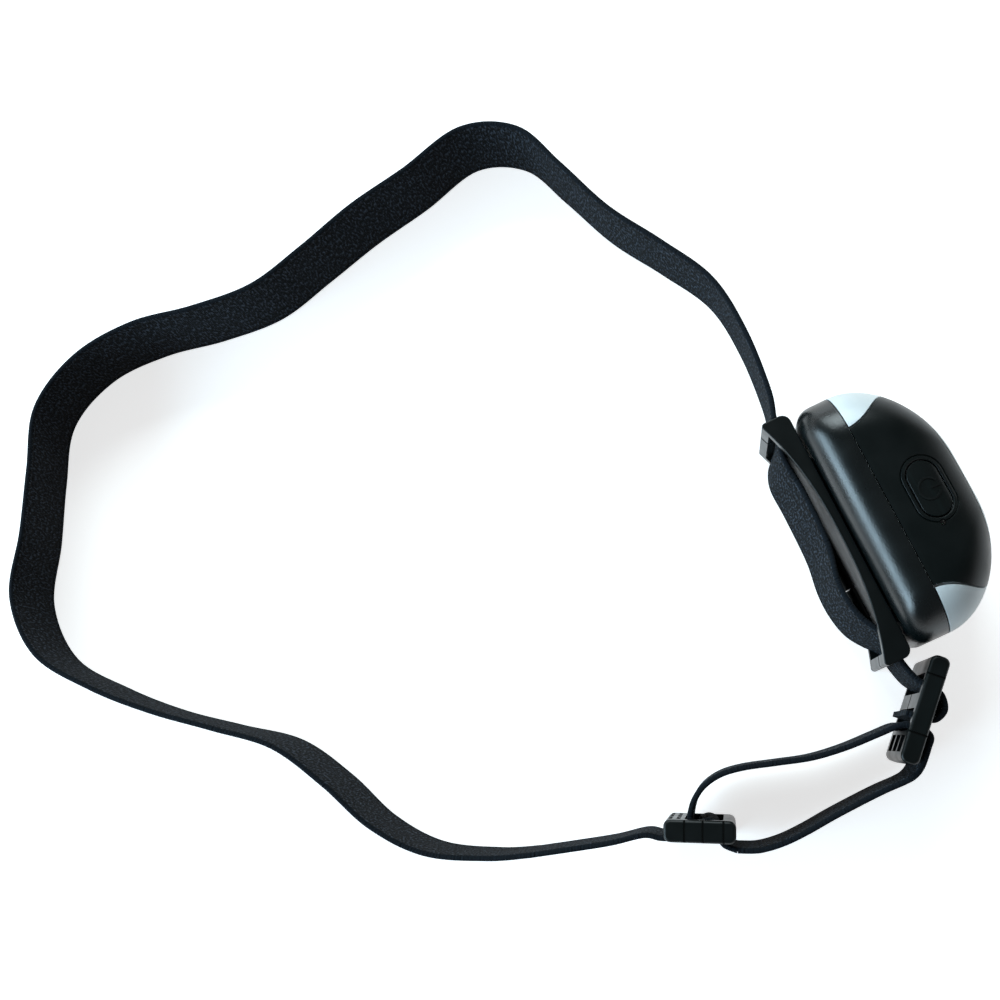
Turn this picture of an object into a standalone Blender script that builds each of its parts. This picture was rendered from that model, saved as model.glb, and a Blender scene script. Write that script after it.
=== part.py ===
"""A headlamp standing on its base: a two-part housing that tilts on a head bracket, and an elastic strap.

The lamp looks along -Y, its width lies along X, and the strap's loop runs back along +Y.
The origin is on the flat underside of the housing. Sizes are in millimetres and are set in metres.
"""
import math

import bmesh
import bpy
from mathutils import Vector

MM = 0.001

# Housing
HOUSING_WIDTH = 61.4
HOUSING_HEIGHT = 40.0
SEAM_Y = 4.0
REAR_DEPTH = 9.0
FRONT_DEPTH = 20.0
REAR_WALL = 1.6
FRONT_WALL = 2.4
FACE_WALL = 4.0
SECTION_CORNER = 12.0
SEAM_STRAIGHT = 1.0
BACK_CORNER_RADIUS = 4.5
FACE_TOP_DROP = 12.0
FACE_FLAT = 16.0
TOE_RADIUS = 6.0
FRONT_PLAN_POWER = 1.8
FRONT_TOP_POWER = 2.5
SEAM_GAP = 0.3
FIT_GAP = 0.3
PIN_CLEAR = 0.15
CUT_SPARE = 1.0

# Saddle cover and power button; the turns are the cover's reach round the corner at the seam and at the turn
# depth ahead of it, in degrees
SADDLE_THICK = 1.1
SADDLE_SEAM_TURN = 6.0
SADDLE_EDGE_TURN = 80.0
SADDLE_TURN_DEPTH = 13.0
SADDLE_TURN_POWER = 2.0
SADDLE_FRONT_MARGIN = 1.1
SADDLE_FRONT_BOW = 3.2
SADDLE_BOW_POWER = 2.5
BUTTON_LENGTH = 13.6
BUTTON_WIDTH = 7.4
BUTTON_OFFSET = 2.2
BUTTON_TRAVEL = 0.8
BUTTON_SINK = 0.1
BUTTON_FLANGE = 0.8
STEM_RADIUS = 1.5
LIGHT_PIPE_ASIDE = 1.4
LIGHT_PIPE_BACK = 1.0
LIGHT_PIPE_RADIUS = 0.6

# Lens, reflector and board
LENS_FRAME = 2.5
LENS_THICK = 1.6
LENS_SINK = 1.0
LENS_LIP = 1.5
LENS_SIDE_FLAT = 2.0
OPTIC_DROP = 3.0
CUP_WALL = 1.2
CUP_GAP = 0.6
FLOOD_CUP_RADIUS = 2.2
MAIN_LED_RADIUS = 1.9
FLOOD_LED_RADIUS = 1.2
LED_HEIGHT = 1.9
REFLECTOR_DEPTH = 6.4
BOARD_MARGIN = 3.0
BOARD_OVERLAP = 2.5
BOARD_THICK = 1.2
BOARD_CORNER = 2.0
POST_ASIDE = 3.2
POST_RADIUS = 2.2
SCREW_RADIUS = 0.9
SCREW_HEAD_RADIUS = 1.8
SCREW_HEAD_HEIGHT = 1.1
SCREW_HEAD_EDGE = 0.5
SCREW_LENGTH = 5.0
SCREW_TIP = 1.0
SWITCH_SIZE = 5.0
SWITCH_HEIGHT = 3.4
PLUNGER_RISE = 1.0

# Cells and contacts: three cells, one above the other, fill the housing's height between the two headrooms
CELL_HEADROOM = 3.8
CELL_DROP = 0.3
CELL_LENGTH = 43.5
CELL_NUB_RADIUS = 1.9
CELL_NUB_LENGTH = 1.0
CELL_ROUND = 0.5
SPRING_LENGTH = 3.2
SPRING_RADIUS = 2.6
SPRING_WIRE = 0.4
SPRING_TURNS = 3
PLATE_THICK = 0.5
PLATE_WIDTH = 7.0
RIB_THICK = 1.4

# Case hinge, along X at the foot of the seam
CASE_AXIS_Z = 1.9
CASE_BARREL_RADIUS = 1.8
CASE_PIN_RADIUS = 0.7
CASE_KNUCKLE = 7.0
CASE_INNER_X = 4.0
CASE_SWING_ROOM = 0.8

# Tilt hinge, along X between the housing and the bracket
TILT_AXIS_Z = 3.3
TILT_BARREL_RADIUS = 2.6
TILT_PIN_RADIUS = 1.0
TILT_KNUCKLE = 8.0
TILT_INNER_X = 11.0
TILT_PIN_LENGTH = 46.0

# Strap
STRAP_WIDTH = 25.0
STRAP_THICK = 1.4
GUIDE_LIFT = 3.1

# Head bracket
BRACKET_OVERHANG = 1.0
BRACKET_GAP = 0.5
BRACKET_RAIL = 2.4
BRACKET_PLATE = 1.7
BRACKET_CROWN = 2.2
BRACKET_HOLLOW = 5.0
HOLLOW_POWER = 2.5
BRACKET_CORNER = 2.2
BRACKET_END_ROUND = 1.0
END_BAR_WIDTH = 3.0
END_BAR_CLEAR = 4.3
END_SLIT = 1.0
END_SLIT_RISE = 4.5

# Strap connector and slider: where each starts from the housing's back left corner, its heading in degrees,
# and its bars along its length
FITTING_CORNER = 1.6
FITTING_RAIL = 2.3
GROOVE = 0.5
CORE_WALL = 1.0
CORE_DEPTH = 0.8
CONNECTOR_START = (-4.1, -5.0)
CONNECTOR_HEADING = 135.5
CONNECTOR_LENGTH = 25.5
CONNECTOR_THICK = 4.4
CONNECTOR_BARS = ((0.0, 4.6), (9.4, 13.0), (18.4, CONNECTOR_LENGTH))
SLIDER_START = (-13.2, 69.5)
SLIDER_HEADING = 244.2
SLIDER_LENGTH = 16.6
SLIDER_THICK = 5.2
SLIDER_BARS = ((0.0, 4.8), (9.0, 11.3), (13.7, SLIDER_LENGTH))
SLIDER_BAR_FACES = (1.2, 1.0, 0.2)

# The strap's hand-laid route round the loop, from the housing's back right corner and then from its back left
# corner: x, y, height of the lower edge, outward lean of the upper edge
LOOP_FROM_RIGHT = (
    (9.0, 1.2, 2.9, 0.0),
    (25.3, -0.4, 2.2, 0.0),
    (41.0, 0.8, 1.3, 0.0),
    (55.6, 7.6, 0.5, 0.2),
    (70.5, 15.7, 0.1, 0.4),
    (87.1, 21.7, 0.0, 0.8),
    (101.3, 27.5, 0.0, 1.2),
    (108.3, 40.5, 0.0, 1.0),
    (104.9, 58.2, 0.0, 1.4),
    (102.4, 75.0, 0.0, 1.6),
    (98.4, 91.5, 0.0, 1.2),
    (95.1, 108.0, 0.0, 1.4),
    (97.1, 125.2, 0.0, 1.6),
    (100.9, 142.3, 0.0, 1.6),
    (100.5, 159.8, 0.0, 0.0),
    (92.9, 175.0, 0.0, -1.4),
    (78.1, 183.3, 0.0, -2.0),
    (62.9, 191.0, 0.0, -1.6),
    (47.9, 199.4, 0.0, -1.0),
)
LOOP_FROM_LEFT = (
    (92.4, 198.6, 0.0, -0.6),
    (78.0, 187.8, 0.0, 0.0),
    (65.8, 175.4, 0.0, 0.0),
    (55.1, 162.0, 0.0, 0.4),
    (44.5, 148.9, 0.0, 1.2),
    (30.7, 140.4, 0.0, 1.4),
    (16.5, 133.8, 0.0, 1.0),
    (5.3, 124.3, 0.4, 0.6),
    (-2.1, 110.8, 1.2, 0.2),
)
FEED_FROM_LEFT = ((-5.7, 101.0, 1.9), (-8.5, 91.0, 2.6), (-10.9, 82.0, 3.0))
LOWER_STRAND = ((-25.7, 20.0), (-25.9, 26.0), (-26.3, 33.0), (-26.9, 40.0), (-27.0, 46.0), (-26.2, 51.5))
UPPER_STRAND = ((-13.9, 15.5), (-13.6, 23.3), (-12.5, 31.3), (-10.3, 39.0), (-8.1, 46.5), (-7.3, 52.0),
                (-8.0, 56.6), (-9.9, 60.0))
ROUTE_STEPS = 4

# Strap points behind the bracket: in from its left or right end, back from its front, lean towards the lamp
BRACKET_ROUTE_LEFT = ((-0.9, 2.7, 0.0), (1.5, 2.9, 0.0), (3.5, 3.0, 0.2), (5.4, 3.7, 1.0), (7.5, 4.9, 2.2),
                      (11.7, 7.3, 2.6), (17.2, 8.5, 2.6), (23.2, 8.4, 2.8))
BRACKET_ROUTE_MIDDLE = (6.9, 3.4)
BRACKET_ROUTE_RIGHT = ((-0.9, 2.7, 0.0), (1.5, 2.9, 0.0), (3.3, 3.2, 0.2), (5.1, 4.4, 1.0), (7.7, 6.0, 2.2),
                       (11.7, 6.8, 3.3), (18.9, 6.5, 3.7))

# Strap points inside the fittings: along the fitting, inward from its middle
CONNECTOR_TAIL = ((14.6, 3.6), (14.5, 1.6), (14.5, -0.8), (13.9, -3.2), (11.2, -4.4), (8.4, -3.0),
                  (7.3, -0.8), (7.0, 1.8), (6.2, 4.2))
CONNECTOR_TURN = ((29.4, -1.0), (27.4, -2.6), (24.8, -3.4), (20.6, -3.5), (18.0, -3.3), (16.9, -1.2),
                  (17.0, 1.2), (17.6, 3.6))
SLIDER_WEAVE = ((-4.7, -1.4), (-0.7, -1.9), (3.3, -1.9), (5.3, -1.8), (6.7, -1.2), (7.7, 0.4), (8.6, 1.8),
                (10.15, 2.4), (11.7, 1.8), (12.5, 0.2), (12.9, -1.6), (14.1, -3.1), (16.9, -4.1))
SLIDER_END = ((6.2, 4.2), (5.9, 1.9), (5.75, 0.9), (5.0, 0.05), (3.2, -0.1), (1.0, -0.1))

# Values worked out from the sizes above
HALF_WIDTH = HOUSING_WIDTH / 2
BACK_Y = SEAM_Y + REAR_DEPTH
FACE_Y = SEAM_Y - FRONT_DEPTH
BACK_EDGE_RADIUS = REAR_DEPTH - SEAM_STRAIGHT
FRONT_CURVE_DEPTH = FRONT_DEPTH - SEAM_STRAIGHT
CURVE_START_Y = FACE_Y + FRONT_CURVE_DEPTH
FACE_CAVITY_Y = FACE_Y + FACE_WALL
CELL_PITCH = (HOUSING_HEIGHT - 2 * CELL_HEADROOM) / 3
CELL_RADIUS = (CELL_PITCH - FIT_GAP) / 2
CELL_MIDDLE_Z = HOUSING_HEIGHT / 2 - CELL_DROP
CELL_Y = BACK_Y - REAR_WALL - FIT_GAP - CELL_RADIUS
BAY_HALF = (CELL_LENGTH + CELL_NUB_LENGTH + SPRING_LENGTH + 3 * FIT_GAP) / 2
RIB_X = BAY_HALF + PLATE_THICK + FIT_GAP
OPTIC_Z = HOUSING_HEIGHT / 2 - OPTIC_DROP
LENS_HEIGHT = HOUSING_HEIGHT - FACE_TOP_DROP - TOE_RADIUS - 2 * LENS_FRAME
MAIN_CUP_RADIUS = LENS_HEIGHT / 2 - LENS_LIP - CUP_WALL
FLOOD_X = MAIN_CUP_RADIUS + CUP_GAP + FLOOD_CUP_RADIUS
LENS_WIDTH = 2 * (FLOOD_X + FLOOD_CUP_RADIUS + CUP_WALL + LENS_LIP)
LENS_FRONT_Y = FACE_Y + LENS_SINK
LENS_BACK_Y = LENS_FRONT_Y + LENS_THICK
REFLECTOR_FRONT_Y = FACE_CAVITY_Y + FIT_GAP
REFLECTOR_BACK_Y = REFLECTOR_FRONT_Y + REFLECTOR_DEPTH
POST_X = LENS_WIDTH / 2 + POST_ASIDE
BOARD_WIDTH = 2 * (POST_X + BOARD_MARGIN)
BOARD_HEIGHT = LENS_HEIGHT + 2 * BOARD_OVERLAP
BOARD_FRONT_Y = REFLECTOR_BACK_Y + FIT_GAP
BOARD_BACK_Y = BOARD_FRONT_Y + BOARD_THICK
BOARD_TOP_Z = OPTIC_Z + BOARD_HEIGHT / 2
POST_END_Y = BOARD_FRONT_Y - FIT_GAP
SWITCH_Y = BOARD_FRONT_Y - FIT_GAP - SWITCH_SIZE / 2
SWITCH_BASE_Z = OPTIC_Z + LENS_HEIGHT / 2 - LENS_LIP + FIT_GAP
SWITCH_TOP_Z = SWITCH_BASE_Z + SWITCH_HEIGHT + PLUNGER_RISE
SADDLE_FRONT_Y = FACE_Y + SADDLE_FRONT_MARGIN
BUTTON_Y = SWITCH_Y + BUTTON_OFFSET
LIGHT_PIPE_X = -BUTTON_LENGTH / 2 - LIGHT_PIPE_ASIDE
LIGHT_PIPE_Y = BUTTON_Y + LIGHT_PIPE_BACK
CASE_AXIS = (SEAM_Y, CASE_AXIS_Z)
CASE_PIN_HALF = CASE_INNER_X + 2 * CASE_KNUCKLE
CASE_RELIEF = CASE_BARREL_RADIUS + 2 * FIT_GAP
CASE_FRONT_RELIEF = CASE_RELIEF + CASE_SWING_ROOM
CORNER_AT_CASE_AXIS = math.sqrt(SECTION_CORNER ** 2 - (SECTION_CORNER - CASE_AXIS_Z) ** 2)
CASE_RELIEF_HALF = HALF_WIDTH - SECTION_CORNER + CORNER_AT_CASE_AXIS
BRACKET_HALF = HALF_WIDTH + BRACKET_OVERHANG
BRACKET_FRONT_Y = BACK_Y + BRACKET_GAP
BRACKET_BASE_Z = GUIDE_LIFT - FIT_GAP - BRACKET_RAIL
BRACKET_TOP_Z = GUIDE_LIFT + STRAP_WIDTH + FIT_GAP + BRACKET_RAIL
END_BAR_X = BRACKET_HALF - END_BAR_WIDTH
TILT_AXIS = (BRACKET_FRONT_Y + BRACKET_PLATE, TILT_AXIS_Z)
TILT_PIN_HALF = TILT_PIN_LENGTH / 2
TILT_RELIEF = TILT_BARREL_RADIUS + 2 * FIT_GAP
GUIDE_MIDDLE_Z = GUIDE_LIFT + STRAP_WIDTH / 2
FITTING_INNER_BASE_Z = GUIDE_LIFT - FIT_GAP
FITTING_INNER_TOP_Z = GUIDE_LIFT + STRAP_WIDTH + FIT_GAP
FITTING_BASE_Z = FITTING_INNER_BASE_Z - FITTING_RAIL
FITTING_TOP_Z = FITTING_INNER_TOP_Z + FITTING_RAIL
CELL_NAMES = ("upper", "middle", "lower")
CELL_HEIGHTS = tuple(CELL_MIDDLE_Z + CELL_PITCH * step for step in (1, 0, -1))
CORNER_STEPS = 6
STRIP_STEPS = 18
SADDLE_STEPS = 10
HOLLOW_STEPS = 16
ROUND_SIDES = 24
SMALL_SIDES = 12


def from_right(x, y):
    """Plan point of an x and y laid from the housing's back right corner."""
    return HALF_WIDTH + x, BACK_Y + y


def from_left(x, y):
    """Plan point of an x and y laid from the housing's back left corner."""
    return x - HALF_WIDTH, BACK_Y + y


CONNECTOR = (from_left(*CONNECTOR_START), CONNECTOR_HEADING, 1)
SLIDER = (from_left(*SLIDER_START), SLIDER_HEADING, -1)


# Scene, materials and mesh helpers

def clear_scene():
    for item in list(bpy.data.objects):
        bpy.data.objects.remove(item, do_unlink=True)


def material(name, colour, roughness, metallic=0.0):
    finish = bpy.data.materials.new(name)
    finish.use_nodes = True
    shader = finish.node_tree.nodes["Principled BSDF"]
    shader.inputs["Base Color"].default_value = (*colour, 1.0)
    shader.inputs["Roughness"].default_value = roughness
    shader.inputs["Metallic"].default_value = metallic
    return finish


def solid(name, points, faces, finish=None):
    """One named mesh object from points in millimetres, with its faces turned outward."""
    mesh = bpy.data.meshes.new(name)
    mesh.from_pydata([tuple(value * MM for value in point) for point in points], [], faces)
    shaped = bmesh.new()
    shaped.from_mesh(mesh)
    bmesh.ops.recalc_face_normals(shaped, faces=shaped.faces)
    shaped.to_mesh(mesh)
    shaped.free()
    mesh.shade_smooth()
    mesh.set_sharp_from_angle(angle=math.radians(35))
    if finish:
        mesh.materials.append(finish)
    item = bpy.data.objects.new(name, mesh)
    bpy.context.collection.objects.link(item)
    return item


def loft(name, rings, finish=None, sheet=False):
    """Solid skinned over rings of equal point counts, with flat end caps, or stepped caps for a sheet."""
    count = len(rings[0])
    points = [point for ring in rings for point in ring]
    faces = []
    for start in (0, len(points) - count):
        if sheet:
            faces += [(start + step, start + step + 1, start + count - 2 - step, start + count - 1 - step)
                      for step in range(count // 2 - 1)]
        else:
            faces.append(list(range(start, start + count)))
    for row in range(len(rings) - 1):
        for index in range(count):
            after = (index + 1) % count
            low = row * count
            faces.append((low + index, low + after, low + count + after, low + count + index))
    return solid(name, points, faces, finish)


def prism(name, outline, axis, low, high, finish=None):
    """Solid from an outline pushed along one axis; the outline holds the other two values."""
    rings = []
    for level in (low, high):
        ring = []
        for pair in outline:
            point = list(pair)
            point.insert("xyz".index(axis), level)
            ring.append(tuple(point))
        rings.append(ring)
    return loft(name, rings, finish)


def box(name, low, high, finish=None):
    outline = [(low[0], low[1]), (high[0], low[1]), (high[0], high[1]), (low[0], high[1])]
    return prism(name, outline, "z", low[2], high[2], finish)


def circle(centre, radius, sides=ROUND_SIDES):
    turn = 2 * math.pi / sides
    return [(centre[0] + radius * math.cos(turn * step), centre[1] + radius * math.sin(turn * step))
            for step in range(sides)]


def rounded_outline(centre, half_width, half_height, radius, steps=CORNER_STEPS):
    """Rectangle with round corners, counter-clockwise."""
    outline = []
    for quarter, (side_x, side_y) in enumerate(((1, 1), (-1, 1), (-1, -1), (1, -1))):
        middle_x = centre[0] + side_x * (half_width - radius)
        middle_y = centre[1] + side_y * (half_height - radius)
        for step in range(steps + 1):
            angle = math.pi / 2 * (quarter + step / steps)
            outline.append((middle_x + radius * math.cos(angle), middle_y + radius * math.sin(angle)))
    pairs = zip(outline, outline[-1:] + outline)
    return [point for point, before in pairs if math.dist(point, before) > 1e-6]


def turned(name, profile, start, axis, finish=None, sides=ROUND_SIDES):
    """Solid turned about one axis; the profile lists (distance along the axis, radius)."""
    along = "xyz".index(axis)
    points = []
    rings = []
    for distance, radius in profile:
        ring = []
        for first, second in circle((0.0, 0.0), max(radius, 0.0), 1 if radius == 0 else sides):
            point = [first, second]
            point.insert(along, distance)
            ring.append(len(points))
            points.append(tuple(point[k] + start[k] for k in range(3)))
        rings.append(ring)
    faces = []
    for near, far in zip(rings, rings[1:]):
        for index in range(sides):
            after = (index + 1) % sides
            corners = [near[index % len(near)], near[after % len(near)], far[after % len(far)],
                       far[index % len(far)]]
            faces.append(tuple(dict.fromkeys(corners)))
    return solid(name, points, faces, finish)


def combine(target, tool, operation):
    """Carry out a Boolean on the target, then drop the tool."""
    step = target.modifiers.new("step", "BOOLEAN")
    step.operation = operation
    step.solver = "EXACT"
    step.object = tool
    view = bpy.context.evaluated_depsgraph_get()
    shaped = bpy.data.meshes.new_from_object(target.evaluated_get(view))
    target.modifiers.remove(step)
    finishes = list(target.data.materials)
    target.data = shaped
    shaped.materials.clear()
    for finish in finishes:
        shaped.materials.append(finish)
    shaped.shade_smooth()
    shaped.set_sharp_from_angle(angle=math.radians(35))
    bpy.data.objects.remove(tool, do_unlink=True)
    return target


def cut(target, tool):
    return combine(target, tool, "DIFFERENCE")


def join(target, tool):
    return combine(target, tool, "UNION")


# The housing's outer form

def oval(share, power):
    return max(0.0, 1.0 - share ** power) ** (1.0 / power)


def section_sizes(depth, inset):
    """Half width, top and bottom of the housing's section at a depth, drawn in by inset."""
    half_width = HALF_WIDTH - inset
    top = HOUSING_HEIGHT - inset
    bottom = inset
    corner_start = BACK_Y - BACK_CORNER_RADIUS
    edge_start = BACK_Y - BACK_EDGE_RADIUS
    toe_start = FACE_Y + TOE_RADIUS
    if depth > corner_start:
        reach = min(1.0, (depth - corner_start) / (BACK_CORNER_RADIUS - inset))
        half_width = HALF_WIDTH - BACK_CORNER_RADIUS + (BACK_CORNER_RADIUS - inset) * oval(reach, 2)
    if depth > edge_start:
        reach = min(1.0, (depth - edge_start) / (BACK_EDGE_RADIUS - inset))
        rise = (BACK_EDGE_RADIUS - inset) * oval(reach, 2)
        top = HOUSING_HEIGHT - BACK_EDGE_RADIUS + rise
        bottom = BACK_EDGE_RADIUS - rise
    if depth < CURVE_START_Y:
        reach = min(1.0, (CURVE_START_Y - depth) / (FRONT_CURVE_DEPTH - inset))
        face_half = FACE_FLAT / 2
        half_width = face_half + (HALF_WIDTH - face_half - inset) * oval(reach, FRONT_PLAN_POWER)
        top = HOUSING_HEIGHT - FACE_TOP_DROP + (FACE_TOP_DROP - inset) * oval(reach, FRONT_TOP_POWER)
    if depth < toe_start:
        reach = min(1.0, (toe_start - depth) / (TOE_RADIUS - inset))
        bottom = TOE_RADIUS - (TOE_RADIUS - inset) * oval(reach, 2)
    return half_width, top, bottom


def corner_radius(top, bottom, inset):
    """Corner radius of a section: the full corner at full height, tighter where the section is lower."""
    return max(1.0, SECTION_CORNER - inset - (HOUSING_HEIGHT - 2 * inset - top + bottom) / 2)


def section_ring(depth, inset=0.0):
    half_width, top, bottom = section_sizes(depth, inset)
    radius = corner_radius(top, bottom, inset)
    outline = rounded_outline((0.0, (top + bottom) / 2), half_width, (top - bottom) / 2, radius)
    return [(x, depth, z) for x, z in outline]


def rear_depths(inset=0.0):
    """Depths from the seam to the back, closer where the back edge turns."""
    start = BACK_Y - BACK_EDGE_RADIUS
    reach = BACK_EDGE_RADIUS - inset
    return [start + reach * math.sin(math.radians(angle)) for angle in (0, 20, 40, 58, 74, 90)]


def front_depths(inset=0.0):
    """Depths from the seam to the face, closer where the face turns."""
    reach = FRONT_CURVE_DEPTH - inset
    angles = (0, 9, 18, 27, 36, 45, 54, 63, 72, 81, 90)
    return [CURVE_START_Y - reach * math.sin(math.radians(angle)) for angle in angles]


def top_height(y, inset=0.0):
    return section_sizes(y, inset)[1]


BUTTON_FLANGE_Z = top_height(BUTTON_Y - BUTTON_WIDTH / 2 - BUTTON_FLANGE, FRONT_WALL) - FIT_GAP


def saddle_point(side, ahead, spare, inset):
    """Point of the saddle's sheet: side runs from edge to edge, ahead from the seam to the bowed front."""
    across = abs(side)
    back = SEAM_Y - SEAM_GAP / 2 + spare
    front = SADDLE_FRONT_Y - spare + SADDLE_FRONT_BOW * across ** SADDLE_BOW_POWER
    depth = back + (front - back) * ahead
    half_width, top, bottom = section_sizes(depth, inset)
    radius = corner_radius(top, bottom, inset)
    flat = half_width - radius
    share = min(1.0, max(0.0, (SEAM_Y - depth) / SADDLE_TURN_DEPTH)) ** SADDLE_TURN_POWER
    turn = SADDLE_SEAM_TURN + (SADDLE_EDGE_TURN - SADDLE_SEAM_TURN) * share
    along = across * (flat + radius * math.radians(turn) + 2 * spare)
    angle = max(0.0, along - flat) / radius
    x = math.copysign(min(along, flat) + radius * math.sin(angle), side)
    return x, depth, top - radius + radius * math.cos(angle)


def saddle_solid(name, spare, outer_inset, inner_inset, finish=None):
    """Closed sheet over the top of the housing between two depths of inset, widened by spare."""
    sides = [step / STRIP_STEPS for step in range(-STRIP_STEPS, STRIP_STEPS + 1)]
    rings = []
    for step in range(SADDLE_STEPS + 1):
        ahead = math.sin(math.pi / 2 * step / SADDLE_STEPS)
        upper = [saddle_point(side, ahead, spare, outer_inset) for side in sides]
        lower = [saddle_point(side, ahead, spare, inner_inset) for side in sides]
        rings.append(upper + lower[::-1])
    return loft(name, rings, finish, sheet=True)


# Housing pieces

def barrel_pair(shell, spans, axis, radius, web_low, web_high, trim_rings=None):
    """Join hinge knuckles to a shell: a round barrel and a web over each span along X."""
    for low, high in spans:
        barrel = prism("barrel", circle(axis, radius), "x", low, high)
        web = box("web", (low, *web_low), (high, *web_high))
        if trim_rings:
            cut(web, loft("trim", trim_rings))
        join(shell, join(barrel, web))


def both_sides(inner, length):
    """Spans along X of a pair of pieces, one each side of the middle."""
    return ((inner, inner + length), (-inner - length, -inner))


def rod_along_x(radius, axis, half_length):
    return prism("rod", circle(axis, radius), "x", -half_length, half_length)


def rear_shell(finish):
    """Rear half of the housing: a tray for the cells, with knuckles for both hinges."""
    seam = SEAM_Y + SEAM_GAP / 2
    shell = loft("rear_shell", [section_ring(y) for y in [seam] + rear_depths()], finish)
    depths = [seam - CUT_SPARE] + rear_depths(REAR_WALL)
    cut(shell, loft("hollow", [section_ring(y, REAR_WALL) for y in depths]))
    for low, high in both_sides(RIB_X, RIB_THICK):
        join(shell, box("rib", (low, seam + SEAM_STRAIGHT, BACK_EDGE_RADIUS),
                        (high, BACK_Y - REAR_WALL / 2, HOUSING_HEIGHT - BACK_EDGE_RADIUS)))
    cut(shell, rod_along_x(CASE_RELIEF, CASE_AXIS, CASE_RELIEF_HALF))
    spans = both_sides(CASE_INNER_X + CASE_KNUCKLE, CASE_KNUCKLE)
    barrel_pair(shell, spans, CASE_AXIS, CASE_BARREL_RADIUS,
                (SEAM_Y + CASE_PIN_RADIUS, CASE_AXIS_Z - CASE_BARREL_RADIUS / 2),
                (SEAM_Y + CASE_RELIEF + REAR_WALL, CASE_AXIS_Z + CASE_BARREL_RADIUS / 2))
    cut(shell, rod_along_x(CASE_PIN_RADIUS + PIN_CLEAR, CASE_AXIS, CASE_PIN_HALF + FIT_GAP))
    mid_wall = [section_ring(y, REAR_WALL / 2) for y in [seam] + rear_depths(REAR_WALL / 2)]
    barrel_pair(shell, both_sides(TILT_INNER_X, TILT_KNUCKLE), TILT_AXIS, TILT_BARREL_RADIUS,
                (BACK_Y - BACK_EDGE_RADIUS / 2, TILT_AXIS_Z - TILT_PIN_RADIUS),
                (TILT_AXIS[0], TILT_AXIS_Z + TILT_BARREL_RADIUS), mid_wall)
    cut(shell, rod_along_x(TILT_PIN_RADIUS + PIN_CLEAR, TILT_AXIS, TILT_PIN_HALF + FIT_GAP))
    return shell


def button_outline(spare):
    half_width = BUTTON_WIDTH / 2 + spare
    return rounded_outline((0.0, BUTTON_Y), BUTTON_LENGTH / 2 + spare, half_width, half_width)


def through_top(name, outline):
    """Cutter that reaches from the board's height out through the housing's top."""
    return prism(name, outline, "z", BOARD_TOP_Z, HOUSING_HEIGHT + CUT_SPARE)


def pipe_outline(spare):
    return circle((LIGHT_PIPE_X, LIGHT_PIPE_Y), LIGHT_PIPE_RADIUS + spare, SMALL_SIDES)


def front_shell(finish):
    """Front half of the housing: the pale shell with its lens window, board posts and saddle recess."""
    seam = SEAM_Y - SEAM_GAP / 2
    shell = loft("front_shell", [section_ring(y) for y in [seam] + front_depths()], finish)
    deep = [y for y in front_depths(FRONT_WALL) if y > FACE_CAVITY_Y + FIT_GAP] + [FACE_CAVITY_Y]
    cut(shell, loft("hollow", [section_ring(y, FRONT_WALL) for y in [seam + CUT_SPARE] + deep]))
    for side in (-1, 1):
        centre = (side * POST_X, OPTIC_Z)
        join(shell, prism("post", circle(centre, POST_RADIUS), "y", FACE_CAVITY_Y - FIT_GAP, POST_END_Y))
        cut(shell, prism("pilot", circle(centre, SCREW_RADIUS + PIN_CLEAR), "y",
                         BOARD_BACK_Y - SCREW_LENGTH - FIT_GAP, POST_END_Y + CUT_SPARE))
    cut(shell, saddle_solid("recess", FIT_GAP, -CUT_SPARE, SADDLE_THICK + FIT_GAP))
    cut(shell, through_top("button_hole", button_outline(FIT_GAP)))
    cut(shell, through_top("pipe_hole", pipe_outline(PIN_CLEAR)))
    ahead = FACE_Y - CUT_SPARE
    cut(shell, prism("lens_seat", lens_outline(FIT_GAP), "y", ahead, LENS_BACK_Y + FIT_GAP))
    cut(shell, prism("window", lens_outline(-LENS_LIP), "y", ahead, FACE_CAVITY_Y + CUT_SPARE))
    cut(shell, rod_along_x(CASE_FRONT_RELIEF, CASE_AXIS, CASE_RELIEF_HALF))
    spans = both_sides(CASE_INNER_X, CASE_KNUCKLE - FIT_GAP)
    barrel_pair(shell, spans, CASE_AXIS, CASE_BARREL_RADIUS,
                (SEAM_Y - CASE_FRONT_RELIEF - FRONT_WALL, CASE_AXIS_Z - CASE_BARREL_RADIUS / 2),
                (SEAM_Y - CASE_PIN_RADIUS, CASE_AXIS_Z + CASE_BARREL_RADIUS / 2))
    cut(shell, rod_along_x(CASE_PIN_RADIUS + PIN_CLEAR, CASE_AXIS, CASE_PIN_HALF + FIT_GAP))
    return shell


def saddle_cover(finish):
    cover = saddle_solid("saddle_cover", 0.0, 0.0, SADDLE_THICK, finish)
    cut(cover, through_top("button_hole", button_outline(FIT_GAP)))
    return cut(cover, through_top("pipe_hole", pipe_outline(PIN_CLEAR)))


def power_button(finish):
    """Stadium button that follows the housing's top, with a flange inside and a stem to the switch."""
    foot = BUTTON_FLANGE_Z - BUTTON_FLANGE
    button = prism("power_button", button_outline(0.0), "z", foot, HOUSING_HEIGHT + CUT_SPARE, finish)
    form = [section_ring(y, BUTTON_SINK) for y in [SEAM_Y] + front_depths(BUTTON_SINK)]
    combine(button, loft("form", form), "INTERSECT")
    join(button, prism("flange", button_outline(BUTTON_FLANGE), "z", foot, BUTTON_FLANGE_Z))
    return join(button, prism("stem", circle((0.0, SWITCH_Y), STEM_RADIUS), "z",
                              SWITCH_TOP_Z + BUTTON_TRAVEL + PIN_CLEAR, foot + BUTTON_FLANGE / 2))


def light_pipe(finish):
    top = top_height(LIGHT_PIPE_Y, BUTTON_SINK)
    return prism("indicator_light_pipe", pipe_outline(0.0), "z", BOARD_TOP_Z + FIT_GAP, top, finish)


# Optics, board and cells

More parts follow.
